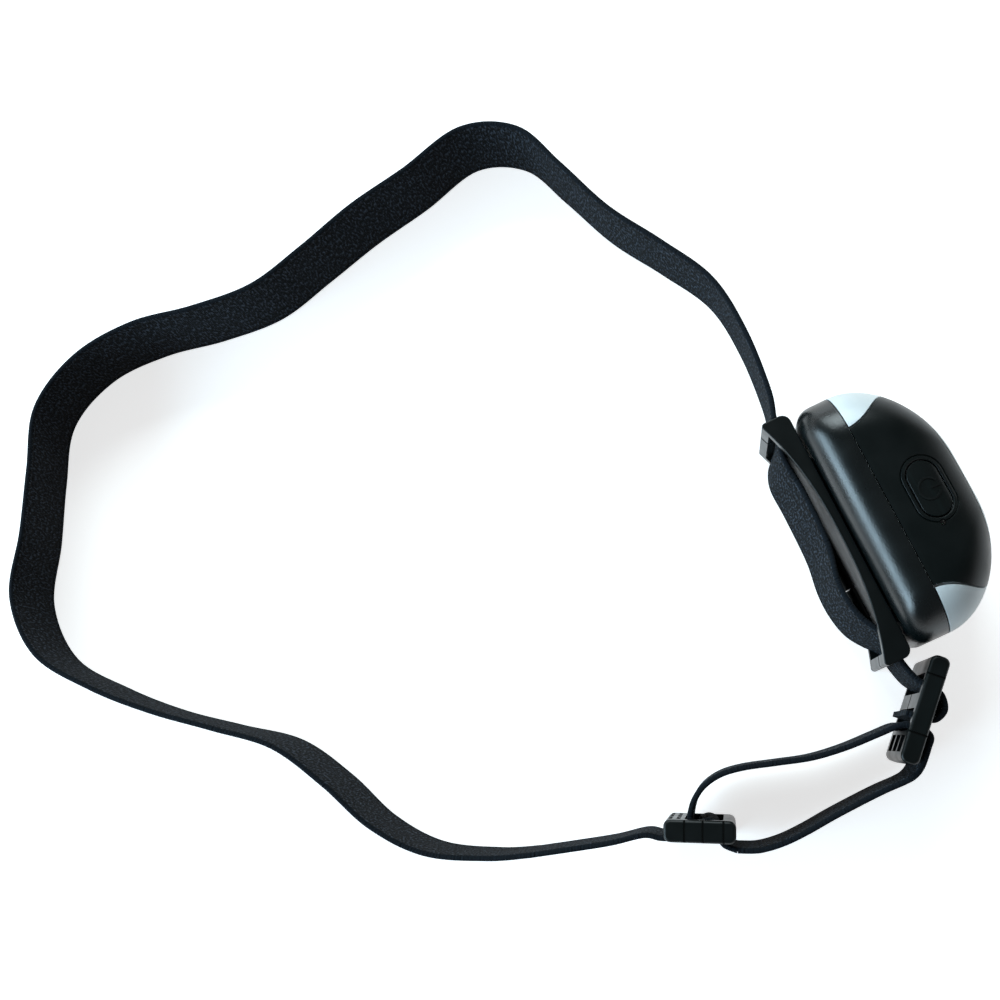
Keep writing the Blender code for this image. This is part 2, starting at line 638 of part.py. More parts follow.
def lens_outline(spare):
    half_height = LENS_HEIGHT / 2 + spare
    radius = half_height - LENS_SIDE_FLAT / 2
    return rounded_outline((0.0, OPTIC_Z), LENS_WIDTH / 2 + spare, half_height, radius)


def lens(finish):
    return prism("lens", lens_outline(0.0), "y", LENS_FRONT_Y, LENS_BACK_Y, finish)


def reflector(finish):
    """Block with one large cup and two small ones, open at the back for the light sources."""
    block = prism("reflector", lens_outline(-LENS_LIP), "y", REFLECTOR_FRONT_Y, REFLECTOR_BACK_Y, finish)
    cups = ((0.0, MAIN_CUP_RADIUS, MAIN_LED_RADIUS), (FLOOD_X, FLOOD_CUP_RADIUS, FLOOD_LED_RADIUS),
            (-FLOOD_X, FLOOD_CUP_RADIUS, FLOOD_LED_RADIUS))
    for x, mouth, throat in cups:
        rings = []
        for share in (-0.1, 0.0, 0.25, 0.5, 0.75, 1.0, 1.1):
            reach = min(1.0, max(0.0, share))
            wide = (throat + FIT_GAP) + (mouth - throat - FIT_GAP) * math.sqrt(1.0 - reach)
            y = REFLECTOR_FRONT_Y + REFLECTOR_DEPTH * share
            rings.append([(x + dx, y, OPTIC_Z + dz) for dx, dz in circle((0.0, 0.0), wide)])
        cut(block, loft("cup", rings))
    return block


def led(name, x, radius, finish):
    """Domed light source on the front of the board."""
    base = BOARD_FRONT_Y - PIN_CLEAR
    profile = [(0.0, 0.0), (0.0, radius)]
    for step in range(5):
        angle = math.radians(90 * step / 4)
        height = LED_HEIGHT / 2 + LED_HEIGHT / 2 * math.sin(angle)
        profile.append((-height, radius * math.cos(angle) if step < 4 else 0.0))
    return turned(name, profile, (x, base, OPTIC_Z), "y", finish)


def led_board(finish):
    outline = rounded_outline((0.0, OPTIC_Z), BOARD_WIDTH / 2, BOARD_HEIGHT / 2, BOARD_CORNER)
    board = prism("led_board", outline, "y", BOARD_FRONT_Y, BOARD_BACK_Y, finish)
    for side in (-1, 1):
        cut(board, prism("hole", circle((side * POST_X, OPTIC_Z), SCREW_RADIUS + PIN_CLEAR), "y",
                         BOARD_FRONT_Y - CUT_SPARE, BOARD_BACK_Y + CUT_SPARE))
    return board


def board_screw(name, x, finish):
    head = BOARD_BACK_Y + PIN_CLEAR
    profile = [(SCREW_HEAD_HEIGHT, 0.0), (SCREW_HEAD_HEIGHT, SCREW_HEAD_RADIUS * 0.8),
               (SCREW_HEAD_EDGE, SCREW_HEAD_RADIUS), (0.0, SCREW_HEAD_RADIUS), (0.0, SCREW_RADIUS),
               (SCREW_TIP - SCREW_LENGTH, SCREW_RADIUS), (-SCREW_LENGTH, SCREW_RADIUS / 2),
               (-SCREW_LENGTH, 0.0)]
    return turned(name, profile, (x, head, OPTIC_Z), "y", finish, SMALL_SIDES)


def tact_switch(finish):
    half = SWITCH_SIZE / 2
    body = box("tact_switch", (-half, SWITCH_Y - half, SWITCH_BASE_Z),
               (half, SWITCH_Y + half, SWITCH_BASE_Z + SWITCH_HEIGHT), finish)
    plunger = circle((0.0, SWITCH_Y), STEM_RADIUS)
    return join(body, prism("plunger", plunger, "z", SWITCH_BASE_Z + SWITCH_HEIGHT / 2, SWITCH_TOP_Z))


def cell(name, z, heading, finish):
    """One AAA cell lying along X, its nub towards heading."""
    nub_tip = BAY_HALF - FIT_GAP
    body_end = nub_tip - CELL_NUB_LENGTH
    flat_end = body_end - CELL_LENGTH
    profile = [(nub_tip, 0.0), (nub_tip, CELL_NUB_RADIUS), (body_end, CELL_NUB_RADIUS),
               (body_end, CELL_RADIUS - CELL_ROUND), (body_end - CELL_ROUND, CELL_RADIUS),
               (flat_end + CELL_ROUND, CELL_RADIUS), (flat_end, CELL_RADIUS - CELL_ROUND), (flat_end, 0.0)]
    facing = [(heading * along, radius) for along, radius in profile]
    return turned(name, facing, (0.0, CELL_Y, z), "x", finish)


def cell_spring(name, z, heading, finish):
    """Coil between a cell's flat end and its contact plate."""
    start = -heading * (BAY_HALF - FIT_GAP - SPRING_WIRE)
    reach = heading * (SPRING_LENGTH - 2 * SPRING_WIRE)
    steps = SMALL_SIDES * SPRING_TURNS
    rings = []
    for step in range(steps + 1):
        turn = 2 * math.pi * step / SMALL_SIDES
        out = Vector((0.0, math.cos(turn), math.sin(turn)))
        centre = Vector((start + reach * step / steps, CELL_Y, z)) + SPRING_RADIUS * out
        rings.append([tuple(centre + out * first + Vector((second, 0.0, 0.0)))
                      for first, second in circle((0.0, 0.0), SPRING_WIRE, 6)])
    return loft(name, rings, finish)


def contact_plate(name, side, finish):
    near, far = sorted((side * BAY_HALF, side * (BAY_HALF + PLATE_THICK)))
    reach = CELL_PITCH + CELL_RADIUS / 2
    return box(name, (near, CELL_Y - PLATE_WIDTH / 2, CELL_MIDDLE_Z - reach),
               (far, CELL_Y + PLATE_WIDTH / 2, CELL_MIDDLE_Z + reach), finish)


def hinge_pin(name, radius, axis, half_length, finish):
    return prism(name, circle(axis, radius), "x", -half_length, half_length, finish)


# Head bracket

def hollow_y(x):
    """Head side of the bracket: hollow, to lie against a forehead."""
    return BRACKET_FRONT_Y + BRACKET_CROWN + BRACKET_HOLLOW * abs(x / BRACKET_HALF) ** HOLLOW_POWER


def bracket_corner(side, middle_y, radius, start):
    """Quarter circle in plan at one end of the bracket, from a start angle in degrees."""
    middle_x = side * (BRACKET_HALF - radius)
    angles = [math.radians(start + 90 * step / CORNER_STEPS) for step in range(CORNER_STEPS + 1)]
    return [(middle_x + radius * math.cos(angle), middle_y + radius * math.sin(angle)) for angle in angles]


def bracket_outline():
    """Plan of the bracket: round corners on the lamp's side, and a hollow with round ends on the head's."""
    front = BRACKET_FRONT_Y + BRACKET_CORNER
    end_x = BRACKET_HALF - BRACKET_END_ROUND
    end_y = hollow_y(end_x) - BRACKET_END_ROUND
    outline = bracket_corner(-1, front, BRACKET_CORNER, 180) + bracket_corner(1, front, BRACKET_CORNER, 270)
    outline += bracket_corner(1, end_y, BRACKET_END_ROUND, 0)
    for step in range(1, HOLLOW_STEPS):
        x = end_x * (1 - 2 * step / HOLLOW_STEPS)
        outline.append((x, hollow_y(x)))
    return outline + bracket_corner(-1, end_y, BRACKET_END_ROUND, 90)


def head_bracket(finish):
    """Plate with a rail along its top and foot, and a split bar standing off each end for the strap."""
    bracket = prism("head_bracket", bracket_outline(), "z", BRACKET_BASE_Z, BRACKET_TOP_Z, finish)
    low, high = BRACKET_BASE_Z + BRACKET_RAIL, BRACKET_TOP_Z - BRACKET_RAIL
    plate_y = BRACKET_FRONT_Y + BRACKET_PLATE
    bar_y = BRACKET_FRONT_Y + END_BAR_CLEAR
    back_y = hollow_y(BRACKET_HALF) + CUT_SPARE
    slit_z = GUIDE_MIDDLE_Z + END_SLIT_RISE
    cut(bracket, box("middle", (-END_BAR_X, plate_y, low), (END_BAR_X, back_y, high)))
    for start, end in both_sides(END_BAR_X - CUT_SPARE, END_BAR_WIDTH + 2 * CUT_SPARE):
        cut(bracket, box("channel", (start, plate_y, low), (end, bar_y, high)))
        cut(bracket, box("slit", (start, bar_y - CUT_SPARE, slit_z - END_SLIT / 2),
                         (end, back_y, slit_z + END_SLIT / 2)))
    for start, end in both_sides(TILT_INNER_X - FIT_GAP, TILT_KNUCKLE + 2 * FIT_GAP):
        cut(bracket, box("notch", (start, BRACKET_FRONT_Y - CUT_SPARE, BRACKET_BASE_Z - CUT_SPARE),
                         (end, TILT_AXIS[0] + TILT_RELIEF, TILT_AXIS_Z + TILT_RELIEF)))
    outer = TILT_INNER_X + TILT_KNUCKLE + FIT_GAP
    middle = (-TILT_INNER_X + FIT_GAP, TILT_INNER_X - FIT_GAP)
    for start, end in (middle, *both_sides(outer, TILT_PIN_HALF - outer)):
        join(bracket, prism("barrel", circle(TILT_AXIS, TILT_BARREL_RADIUS), "x", start, end))
    return cut(bracket, rod_along_x(TILT_PIN_RADIUS + PIN_CLEAR, TILT_AXIS, TILT_PIN_HALF + FIT_GAP))


# Strap fittings, drawn along their own length and across their thickness, inward positive

def fitting_point(fitting, along, inward):
    start, heading, inner = fitting
    angle = math.radians(heading)
    ahead = (math.cos(angle), math.sin(angle))
    return (start[0] + ahead[0] * along + inner * ahead[1] * inward,
            start[1] + ahead[1] * along - inner * ahead[0] * inward)


def fitting_box(fitting, along, inward, low, high):
    corners = ((along[0], inward[0]), (along[1], inward[0]), (along[1], inward[1]), (along[0], inward[1]))
    return prism("box", [fitting_point(fitting, *corner) for corner in corners], "z", low, high)


def fitting_block(name, fitting, length, thick, finish):
    outline = rounded_outline((length / 2, 0.0), length / 2, thick / 2, FITTING_CORNER)
    plan = [fitting_point(fitting, *point) for point in outline]
    return prism(name, plan, "z", FITTING_BASE_Z, FITTING_TOP_Z, finish)


def rail_grooves(block, fitting, places, thick):
    """Shallow grooves across the outer faces of both rails."""
    wide = (-thick, thick)
    for place in places:
        span = (place - GROOVE / 2, place + GROOVE / 2)
        cut(block, fitting_box(fitting, span, wide, FITTING_TOP_Z - GROOVE, FITTING_TOP_Z + CUT_SPARE))
        cut(block, fitting_box(fitting, span, wide, FITTING_BASE_Z - CUT_SPARE, FITTING_BASE_Z + GROOVE))


def cored_holes(block, fitting, span, face, depth):
    """Three pockets in a bar's inner face, one above the other."""
    pitch = (FITTING_INNER_TOP_Z - FITTING_INNER_BASE_Z) / 3
    for step in range(3):
        low = FITTING_INNER_BASE_Z + pitch * step + CORE_WALL
        inward = (face - depth, face + CUT_SPARE)
        cut(block, fitting_box(fitting, span, inward, low, low + pitch - 2 * CORE_WALL))


def strap_connector(finish):
    """Three-bar connector: the middle bar is split for threading and the last bar is cored."""
    block = fitting_block("strap_connector", CONNECTOR, CONNECTOR_LENGTH, CONNECTOR_THICK, finish)
    wide = (-CONNECTOR_THICK, CONNECTOR_THICK)
    first, middle, last = CONNECTOR_BARS
    for slot in ((first[1], middle[0]), (middle[1], last[0])):
        cut(block, fitting_box(CONNECTOR, slot, wide, FITTING_INNER_BASE_Z, FITTING_INNER_TOP_Z))
    cut(block, fitting_box(CONNECTOR, (middle[0] - CUT_SPARE, middle[1] + CUT_SPARE), wide,
                           GUIDE_MIDDLE_Z - END_SLIT / 2, GUIDE_MIDDLE_Z + END_SLIT / 2))
    cored_holes(block, CONNECTOR, (last[0] + CORE_WALL, last[1] - 2 * CORE_WALL), CONNECTOR_THICK / 2,
                CONNECTOR_THICK - CORE_WALL)
    rail_grooves(block, CONNECTOR, (first[1], last[0]), CONNECTOR_THICK)
    return block


def strap_slider(finish):
    """Three-bar slider: its bars are thinner than its rails, so the strap weaves between them."""
    block = fitting_block("strap_slider", SLIDER, SLIDER_LENGTH, SLIDER_THICK, finish)
    half = SLIDER_THICK / 2
    left, middle, right = SLIDER_BARS
    thin, mid_half, right_low = SLIDER_BAR_FACES
    past = half + CUT_SPARE
    over_middle = (middle[0] - CUT_SPARE, middle[1] + CUT_SPARE)
    hollows = (((left[1], middle[0]), (-past, past)),
               ((middle[1], right[0]), (-past, past)),
               ((left[0] - CUT_SPARE, left[1] + CUT_SPARE), (-past, thin)),
               (over_middle, (mid_half, past)),
               (over_middle, (-past, -mid_half)),
               ((right[0] - CUT_SPARE, right[1] + CUT_SPARE), (-past, right_low)))
    for along, inward in hollows:
        cut(block, fitting_box(SLIDER, along, inward, FITTING_INNER_BASE_Z, FITTING_INNER_TOP_Z))
    core_width = (left[1] - left[0] - 3 * CORE_WALL) / 2
    for start in (left[0] + CORE_WALL, left[1] - CORE_WALL - core_width):
        cored_holes(block, SLIDER, (start, start + core_width), half, CORE_DEPTH)
    rail_grooves(block, SLIDER, (left[1], middle[0], right[0]), SLIDER_THICK)
    return block


# Strap

def smooth(route, steps=ROUTE_STEPS):
    """Points along a smooth curve through a route of (x, y, foot, lean)."""
    padded = [route[0], *route, route[-1]]
    points = []
    for before, start, end, after in zip(padded, padded[1:], padded[2:], padded[3:]):
        for step in range(steps):
            t = step / steps
            weights = (-0.5 * t + t * t - 0.5 * t ** 3, 1 - 2.5 * t * t + 1.5 * t ** 3,
                       0.5 * t + 2 * t * t - 1.5 * t ** 3, -0.5 * t * t + 0.5 * t ** 3)
            knots = (before, start, end, after)
            pairs = list(zip(weights, knots))
            points.append(tuple(sum(weight * knot[k] for weight, knot in pairs) for k in range(4)))
    return points + [route[-1]]


def band(name, route, finish):
    """Flat strap standing on edge along a route, its thickness across the route."""
    points = smooth(route)
    rings = []
    for index, (x, y, foot, lean) in enumerate(points):
        before, after = points[max(index - 1, 0)], points[min(index + 1, len(points) - 1)]
        ahead = Vector((after[0] - before[0], after[1] - before[1])).normalized()
        out = Vector((ahead.y, -ahead.x))
        ring = []
        for level, across in ((0, -0.5), (0, 0.5), (1, 0.5), (1, -0.5)):
            shift = out * (across * STRAP_THICK + (level - 0.5) * lean)
            ring.append((x + shift.x, y + shift.y, max(foot, 0.0) + level * STRAP_WIDTH))
        rings.append(ring)
    return loft(name, rings, finish)


def guided(plan):
    """Route points at the height of the strap guides."""
    return [(x, y, GUIDE_LIFT, 0.0) for x, y in plan]


def in_fitting(fitting, points):
    return guided([fitting_point(fitting, *point) for point in points])


def behind_bracket():
    """Route points from the bracket's left end, behind its middle and to its right end."""
    end, front = BRACKET_HALF, BRACKET_FRONT_Y
    left = [(inward - end, front + back, GUIDE_LIFT, lean) for inward, back, lean in BRACKET_ROUTE_LEFT]
    right = [(end - inward, front + back, GUIDE_LIFT, lean) for inward, back, lean in BRACKET_ROUTE_RIGHT]
    middle = (0.0, front + BRACKET_ROUTE_MIDDLE[0], GUIDE_LIFT, BRACKET_ROUTE_MIDDLE[1])
    return [*left, middle, *right[::-1]]


def main_route():
    """From the tail in the connector, behind the bracket and round the loop, to just short of the feed."""
    loop = [(*from_right(x, y), foot, lean) for x, y, foot, lean in LOOP_FROM_RIGHT]
    loop += [(*from_left(x, y), foot, lean) for x, y, foot, lean in LOOP_FROM_LEFT]
    last, feed = loop[-1], feed_route()[0]
    share = 1 - FIT_GAP / math.dist(last[:2], feed[:2])
    end = (last[0] + share * (feed[0] - last[0]), last[1] + share * (feed[1] - last[1]), *feed[2:])
    return [*in_fitting(CONNECTOR, CONNECTOR_TAIL), *behind_bracket(), *loop, end]


def feed_route():
    feed = [(*from_left(x, y), foot, 0.0) for x, y, foot in FEED_FROM_LEFT]
    return feed + in_fitting(SLIDER, SLIDER_WEAVE)


def adjuster_route():
    """From the slider down to the connector, round its last bar and back up to the slider."""
    last = SLIDER_WEAVE[-1]
    start = [(last[0] + FIT_GAP, last[1] - FIT_GAP / 4)]
    lower = guided([from_left(*point) for point in LOWER_STRAND[::-1]])
    upper = guided([from_left(*point) for point in UPPER_STRAND])
    return [*in_fitting(SLIDER, start), *lower, *in_fitting(CONNECTOR, CONNECTOR_TURN), *upper,
            *in_fitting(SLIDER, SLIDER_END)]


# Assembly

def axis_empty(name, place, parent=None):
    """Empty on a joint's axis, to carry the pieces that move on it."""
    empty = bpy.data.objects.new(name, None)
    empty.location = Vector(place) * MM
    bpy.context.collection.objects.link(empty)
    if parent:
        hang(empty, parent)
    return empty


def hang(item, parent):
    bpy.context.view_layer.update()
    item.parent = parent
    item.matrix_parent_inverse = parent.matrix_world.inverted()


def main():
    clear_scene()
    textured_black = material("textured_black", (0.012, 0.013, 0.014), 0.55)
    soft_black = material("soft_black", (0.012, 0.013, 0.014), 0.45)
    gloss_black = material("gloss_black", (0.012, 0.013, 0.014), 0.3)
    pale_grey = material("pale_grey", (0.74, 0.77, 0.78), 0.35)
    clear = material("clear", (0.9, 0.93, 0.95), 0.05)
    silver = material("silver", (0.85, 0.85, 0.86), 0.12, 1.0)
    steel = material("steel", (0.6, 0.6, 0.6), 0.3, 1.0)
    board_green = material("board_green", (0.02, 0.12, 0.05), 0.5)
    led_yellow = material("led_yellow", (0.8, 0.7, 0.25), 0.3)
    cell_wrap = material("cell_wrap", (0.08, 0.09, 0.1), 0.35)
    woven_black = material("woven_black", (0.015, 0.015, 0.018), 0.9)

    tilt_axis = axis_empty("tilt_axis", (0.0, *TILT_AXIS))
    case_axis = axis_empty("case_axis", (0.0, *CASE_AXIS), tilt_axis)
    button_axis = axis_empty("button_axis", (0.0, BUTTON_Y, HOUSING_HEIGHT), case_axis)
    slider_middle = (*fitting_point(SLIDER, SLIDER_LENGTH / 2, 0.0), GUIDE_MIDDLE_Z)
    slider_axis = axis_empty("slider_axis", slider_middle)

    head_bracket(gloss_black)
    hinge_pin("tilt_hinge_pin", TILT_PIN_RADIUS, TILT_AXIS, TILT_PIN_HALF, steel)
    strap_connector(gloss_black)
    band("strap_main", main_route(), woven_black)
    band("strap_feed", feed_route(), woven_black)
    band("strap_adjuster_loop", adjuster_route(), woven_black)
    hang(strap_slider(gloss_black), slider_axis)

    hang(rear_shell(textured_black), tilt_axis)
    hang(hinge_pin("case_hinge_pin", CASE_PIN_RADIUS, CASE_AXIS, CASE_PIN_HALF, steel), tilt_axis)
    for name, z, heading in zip(CELL_NAMES, CELL_HEIGHTS, (1, -1, 1)):
        hang(cell("cell_" + name, z, heading, cell_wrap), tilt_axis)
        hang(cell_spring("cell_spring_" + name, z, heading, steel), tilt_axis)
    for name, side in (("left", -1), ("right", 1)):
        hang(contact_plate("contact_plate_" + name, side, steel), tilt_axis)
        hang(led("flood_led_" + name, side * FLOOD_X, FLOOD_LED_RADIUS, led_yellow), case_axis)
        hang(board_screw("board_screw_" + name, side * POST_X, steel), case_axis)

    hang(front_shell(pale_grey), case_axis)
    hang(saddle_cover(soft_black), case_axis)
    hang(light_pipe(clear), case_axis)
    hang(lens(clear), case_axis)
    hang(reflector(silver), case_axis)
    hang(led_board(board_green), case_axis)
    hang(led("main_led", 0.0, MAIN_LED_RADIUS, led_yellow), case_axis)
    hang(tact_switch(gloss_black), case_axis)
    hang(power_button(soft_black), button_axis)


main()
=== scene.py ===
"""Looks of the headlamp: detailed shells, bracket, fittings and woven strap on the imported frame.

The lamp looks along -Y and the strap's loop runs back along +Y. Sizes are in millimetres, unless a comment
says metres, and become metres where a mesh or a texture is made.
"""
import math

import bmesh
import bpy
from mathutils import Matrix, Vector


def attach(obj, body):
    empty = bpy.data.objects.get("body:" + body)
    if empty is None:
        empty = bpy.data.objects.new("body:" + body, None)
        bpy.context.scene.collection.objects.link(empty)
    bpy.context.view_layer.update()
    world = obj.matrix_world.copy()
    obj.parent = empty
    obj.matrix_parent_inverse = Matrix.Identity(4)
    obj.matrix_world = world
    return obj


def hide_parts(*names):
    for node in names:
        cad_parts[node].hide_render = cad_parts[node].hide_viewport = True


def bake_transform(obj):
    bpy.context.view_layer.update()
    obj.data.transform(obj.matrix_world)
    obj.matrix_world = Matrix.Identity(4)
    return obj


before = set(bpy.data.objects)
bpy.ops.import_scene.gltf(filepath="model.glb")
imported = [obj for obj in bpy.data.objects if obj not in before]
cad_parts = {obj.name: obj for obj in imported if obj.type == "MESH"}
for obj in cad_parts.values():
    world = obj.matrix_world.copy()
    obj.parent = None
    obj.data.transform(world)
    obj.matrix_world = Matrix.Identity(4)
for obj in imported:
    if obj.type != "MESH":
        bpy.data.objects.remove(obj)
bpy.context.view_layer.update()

MM = 0.001

# Housing
HOUSING_WIDTH = 61.4
HOUSING_HEIGHT = 40.0
SEAM_Y = 4.0
REAR_DEPTH = 9.0
FRONT_DEPTH = 20.0
REAR_WALL = 1.6
FRONT_WALL = 2.4
FACE_WALL = 4.0
SECTION_CORNER = 12.0
SEAM_STRAIGHT = 1.0
BACK_CORNER_RADIUS = 4.5
FACE_TOP_DROP = 12.0
FACE_FLAT = 16.0
TOE_RADIUS = 6.0
FRONT_PLAN_POWER = 1.8
FRONT_TOP_POWER = 2.5
SEAM_GAP = 0.3
FIT_GAP = 0.3
PIN_CLEAR = 0.15
CUT_SPARE = 1.0
LEAST_CORNER = 1.0

# Saddle cover and power button; the turns are the cover's reach round the corners, in degrees
SADDLE_THICK = 1.1
SADDLE_SEAM_TURN = 6.0
SADDLE_EDGE_TURN = 80.0
SADDLE_TURN_DEPTH = 13.0
SADDLE_TURN_POWER = 2.0
SADDLE_FRONT_MARGIN = 1.1
SADDLE_FRONT_BOW = 3.2
SADDLE_BOW_POWER = 2.5
BUTTON_LENGTH = 13.6
BUTTON_WIDTH = 7.4
BUTTON_OFFSET = 2.2
BUTTON_TRAVEL = 0.8
BUTTON_SINK = 0.1
BUTTON_FLANGE = 0.8
STEM_RADIUS = 1.5
LIGHT_PIPE_ASIDE = 1.4
LIGHT_PIPE_BACK = 1.0
LIGHT_PIPE_RADIUS = 0.6

# Black sheet under the saddle that paints shade into the gaps round it, as a share of the gap that it fills
SHADE_SHEET_FILL = 0.85

# Sloped edges and the line round the button, and the symbol on it; the opening is in degrees
BUTTON_EDGE = 0.2
RING_SPARE = 1.3
RING_WIDTH = 0.5
RING_DEPTH = 0.3
MARK_RADIUS = 2.5
MARK_LINE = 0.42
MARK_RISE = 0.16
MARK_OPENING = 60.0
MARK_BAR_START = 0.4
MARK_BAR_END = 3.2

# Lens, reflector and board
LENS_FRAME = 2.5
LENS_THICK = 1.6
LENS_SINK = 1.0
LENS_LIP = 1.5
LENS_SIDE_FLAT = 2.0
OPTIC_DROP = 3.0
CUP_WALL = 1.2
CUP_GAP = 0.6
FLOOD_CUP_RADIUS = 2.2
REFLECTOR_DEPTH = 6.4
BOARD_OVERLAP = 2.5
BOARD_THICK = 1.2
POST_ASIDE = 3.2
POST_RADIUS = 2.2
SCREW_RADIUS = 0.9
SCREW_LENGTH = 5.0
SWITCH_SIZE = 5.0
SWITCH_HEIGHT = 3.4
PLUNGER_RISE = 1.0

# Cells and contacts along X, and the ribs that hold them
CELL_LENGTH = 43.5
CELL_NUB_LENGTH = 1.0
SPRING_LENGTH = 3.2
PLATE_THICK = 0.5
RIB_THICK = 1.4

# Case hinge, along X at the foot of the seam
CASE_AXIS_Z = 1.9
CASE_BARREL_RADIUS = 1.8
CASE_PIN_RADIUS = 0.7
CASE_KNUCKLE = 7.0
CASE_INNER_X = 4.0
CASE_SWING_ROOM = 0.8

# Tilt hinge, along X between the housing and the bracket
TILT_AXIS_Z = 3.3
TILT_BARREL_RADIUS = 2.6
TILT_PIN_RADIUS = 1.0
TILT_KNUCKLE = 8.0
TILT_INNER_X = 11.0
TILT_PIN_LENGTH = 46.0

# Strap
STRAP_WIDTH = 25.0
GUIDE_LIFT = 3.1

# Head bracket
BRACKET_OVERHANG = 1.0
BRACKET_GAP = 0.5
BRACKET_RAIL = 2.4
BRACKET_PLATE = 1.7
BRACKET_CROWN = 2.2
BRACKET_HOLLOW = 5.0
HOLLOW_POWER = 2.5
BRACKET_CORNER = 2.2
BRACKET_END_ROUND = 1.0
END_BAR_WIDTH = 3.0
END_BAR_CLEAR = 4.3
END_SLIT = 1.0
END_SLIT_RISE = 4.5
BRACKET_EDGE = 0.3

# Rounding of the sharp edges that cuts leave
REAR_BEVEL = 0.25
FRONT_BEVEL = 0.2
MARK_BEVEL = 0.06
BRACKET_BEVEL = 0.35
FITTING_BEVEL = 0.25
BEVEL_STEPS = 3
MARK_BEVEL_STEPS = 2

# Strap connector and slider: start from the housing's back left corner, heading in degrees, bars along it
FITTING_CORNER = 1.6
FITTING_RAIL = 2.3
FITTING_EDGE = 0.8
GROOVE = 0.5
CORE_WALL = 1.0
CORE_DEPTH = 0.8
CONNECTOR_START = (-4.1, -5.0)
CONNECTOR_HEADING = 135.5
CONNECTOR_LENGTH = 25.5
CONNECTOR_THICK = 4.4
CONNECTOR_BARS = ((0.0, 4.6), (9.4, 13.0), (18.4, CONNECTOR_LENGTH))
SLIDER_START = (-13.2, 69.5)
SLIDER_HEADING = 244.2
SLIDER_LENGTH = 16.6
SLIDER_THICK = 5.2
SLIDER_BARS = ((0.0, 4.8), (9.0, 11.3), (13.7, SLIDER_LENGTH))
SLIDER_BAR_FACES = (1.2, 1.0, 0.2)

# Strap laid round the loop, from the housing's back right or left corner: x, y, foot, outward lean
LOOP_FROM_RIGHT = (
    (9.0, 1.2, 2.9, 0.0),
    (25.3, -0.4, 2.2, 0.0),
    (41.0, 0.8, 1.3, 0.0),
    (55.6, 7.6, 0.5, 0.2),
    (70.5, 15.7, 0.1, 0.4),
    (87.1, 21.7, 0.0, 0.8),
    (101.3, 27.5, 0.0, 1.2),
    (108.3, 40.5, 0.0, 1.0),
    (104.9, 58.2, 0.0, 1.4),
    (102.4, 75.0, 0.0, 1.6),
    (98.4, 91.5, 0.0, 1.2),
    (95.1, 108.0, 0.0, 1.4),
    (97.1, 125.2, 0.0, 1.6),
    (100.9, 142.3, 0.0, 1.6),
    (100.5, 159.8, 0.0, 0.0),
    (92.9, 175.0, 0.0, -1.4),
    (78.1, 183.3, 0.0, -2.0),
    (62.9, 191.0, 0.0, -1.6),
    (47.9, 199.4, 0.0, -1.0),
)
LOOP_FROM_LEFT = (
    (92.4, 198.6, 0.0, -0.6),
    (78.0, 187.8, 0.0, 0.0),
    (65.8, 175.4, 0.0, 0.0),
    (55.1, 162.0, 0.0, 0.4),
    (44.5, 148.9, 0.0, 1.2),
    (30.7, 140.4, 0.0, 1.4),
    (16.5, 133.8, 0.0, 1.0),
    (5.3, 124.3, 0.4, 0.6),
    (-2.1, 110.8, 1.2, 0.2),
)
FEED_FROM_LEFT = ((-5.7, 101.0, 1.9), (-8.5, 91.0, 2.6), (-10.9, 82.0, 3.0))
LOWER_STRAND = ((-25.7, 20.0), (-25.9, 26.0), (-26.3, 33.0), (-26.9, 40.0), (-27.0, 46.0), (-26.2, 51.5))
UPPER_STRAND = ((-13.9, 15.5), (-13.6, 23.3), (-12.5, 31.3), (-10.3, 39.0), (-8.1, 46.5), (-7.3, 52.0),
                (-8.0, 56.6), (-9.9, 60.0))
ROUTE_STEPS = 10

# Strap points behind the bracket: in from its left or right end, back from its front, lean towards the lamp
BRACKET_ROUTE_LEFT = ((-0.9, 2.7, 0.0), (1.5, 2.9, 0.0), (3.5, 3.0, 0.2), (5.4, 3.7, 1.0), (7.5, 4.9, 2.2),
                      (11.7, 7.3, 2.6), (17.2, 8.5, 2.6), (23.2, 8.4, 2.8))
BRACKET_ROUTE_MIDDLE = (6.9, 3.4)
BRACKET_ROUTE_RIGHT = ((-0.9, 2.7, 0.0), (1.5, 2.9, 0.0), (3.3, 3.2, 0.2), (5.1, 4.4, 1.0), (7.7, 6.0, 2.2),
                       (11.7, 6.8, 3.3), (18.9, 6.5, 3.7))

# Strap points inside the fittings: along the fitting, inward from its middle
CONNECTOR_TAIL = ((14.6, 3.6), (14.5, 1.6), (14.5, -0.8), (13.9, -3.2), (11.2, -4.4), (8.4, -3.0),
                  (7.3, -0.8), (7.0, 1.8), (6.2, 4.2))
CONNECTOR_TURN = ((29.4, -1.0), (27.4, -2.6), (24.8, -3.4), (20.6, -3.5), (18.0, -3.3), (16.9, -1.2),
                  (17.0, 1.2), (17.6, 3.6))
SLIDER_WEAVE = ((-4.7, -1.4), (-0.7, -1.9), (3.3, -1.9), (5.3, -1.8), (6.7, -1.2), (7.7, 0.4), (8.6, 1.8),
                (10.15, 2.4), (11.7, 1.8), (12.5, 0.2), (12.9, -1.6), (14.1, -3.1), (16.9, -4.1))
SLIDER_END = ((6.2, 4.2), (5.9, 1.9), (5.75, 0.9), (5.0, 0.05), (3.2, -0.1), (1.0, -0.1))

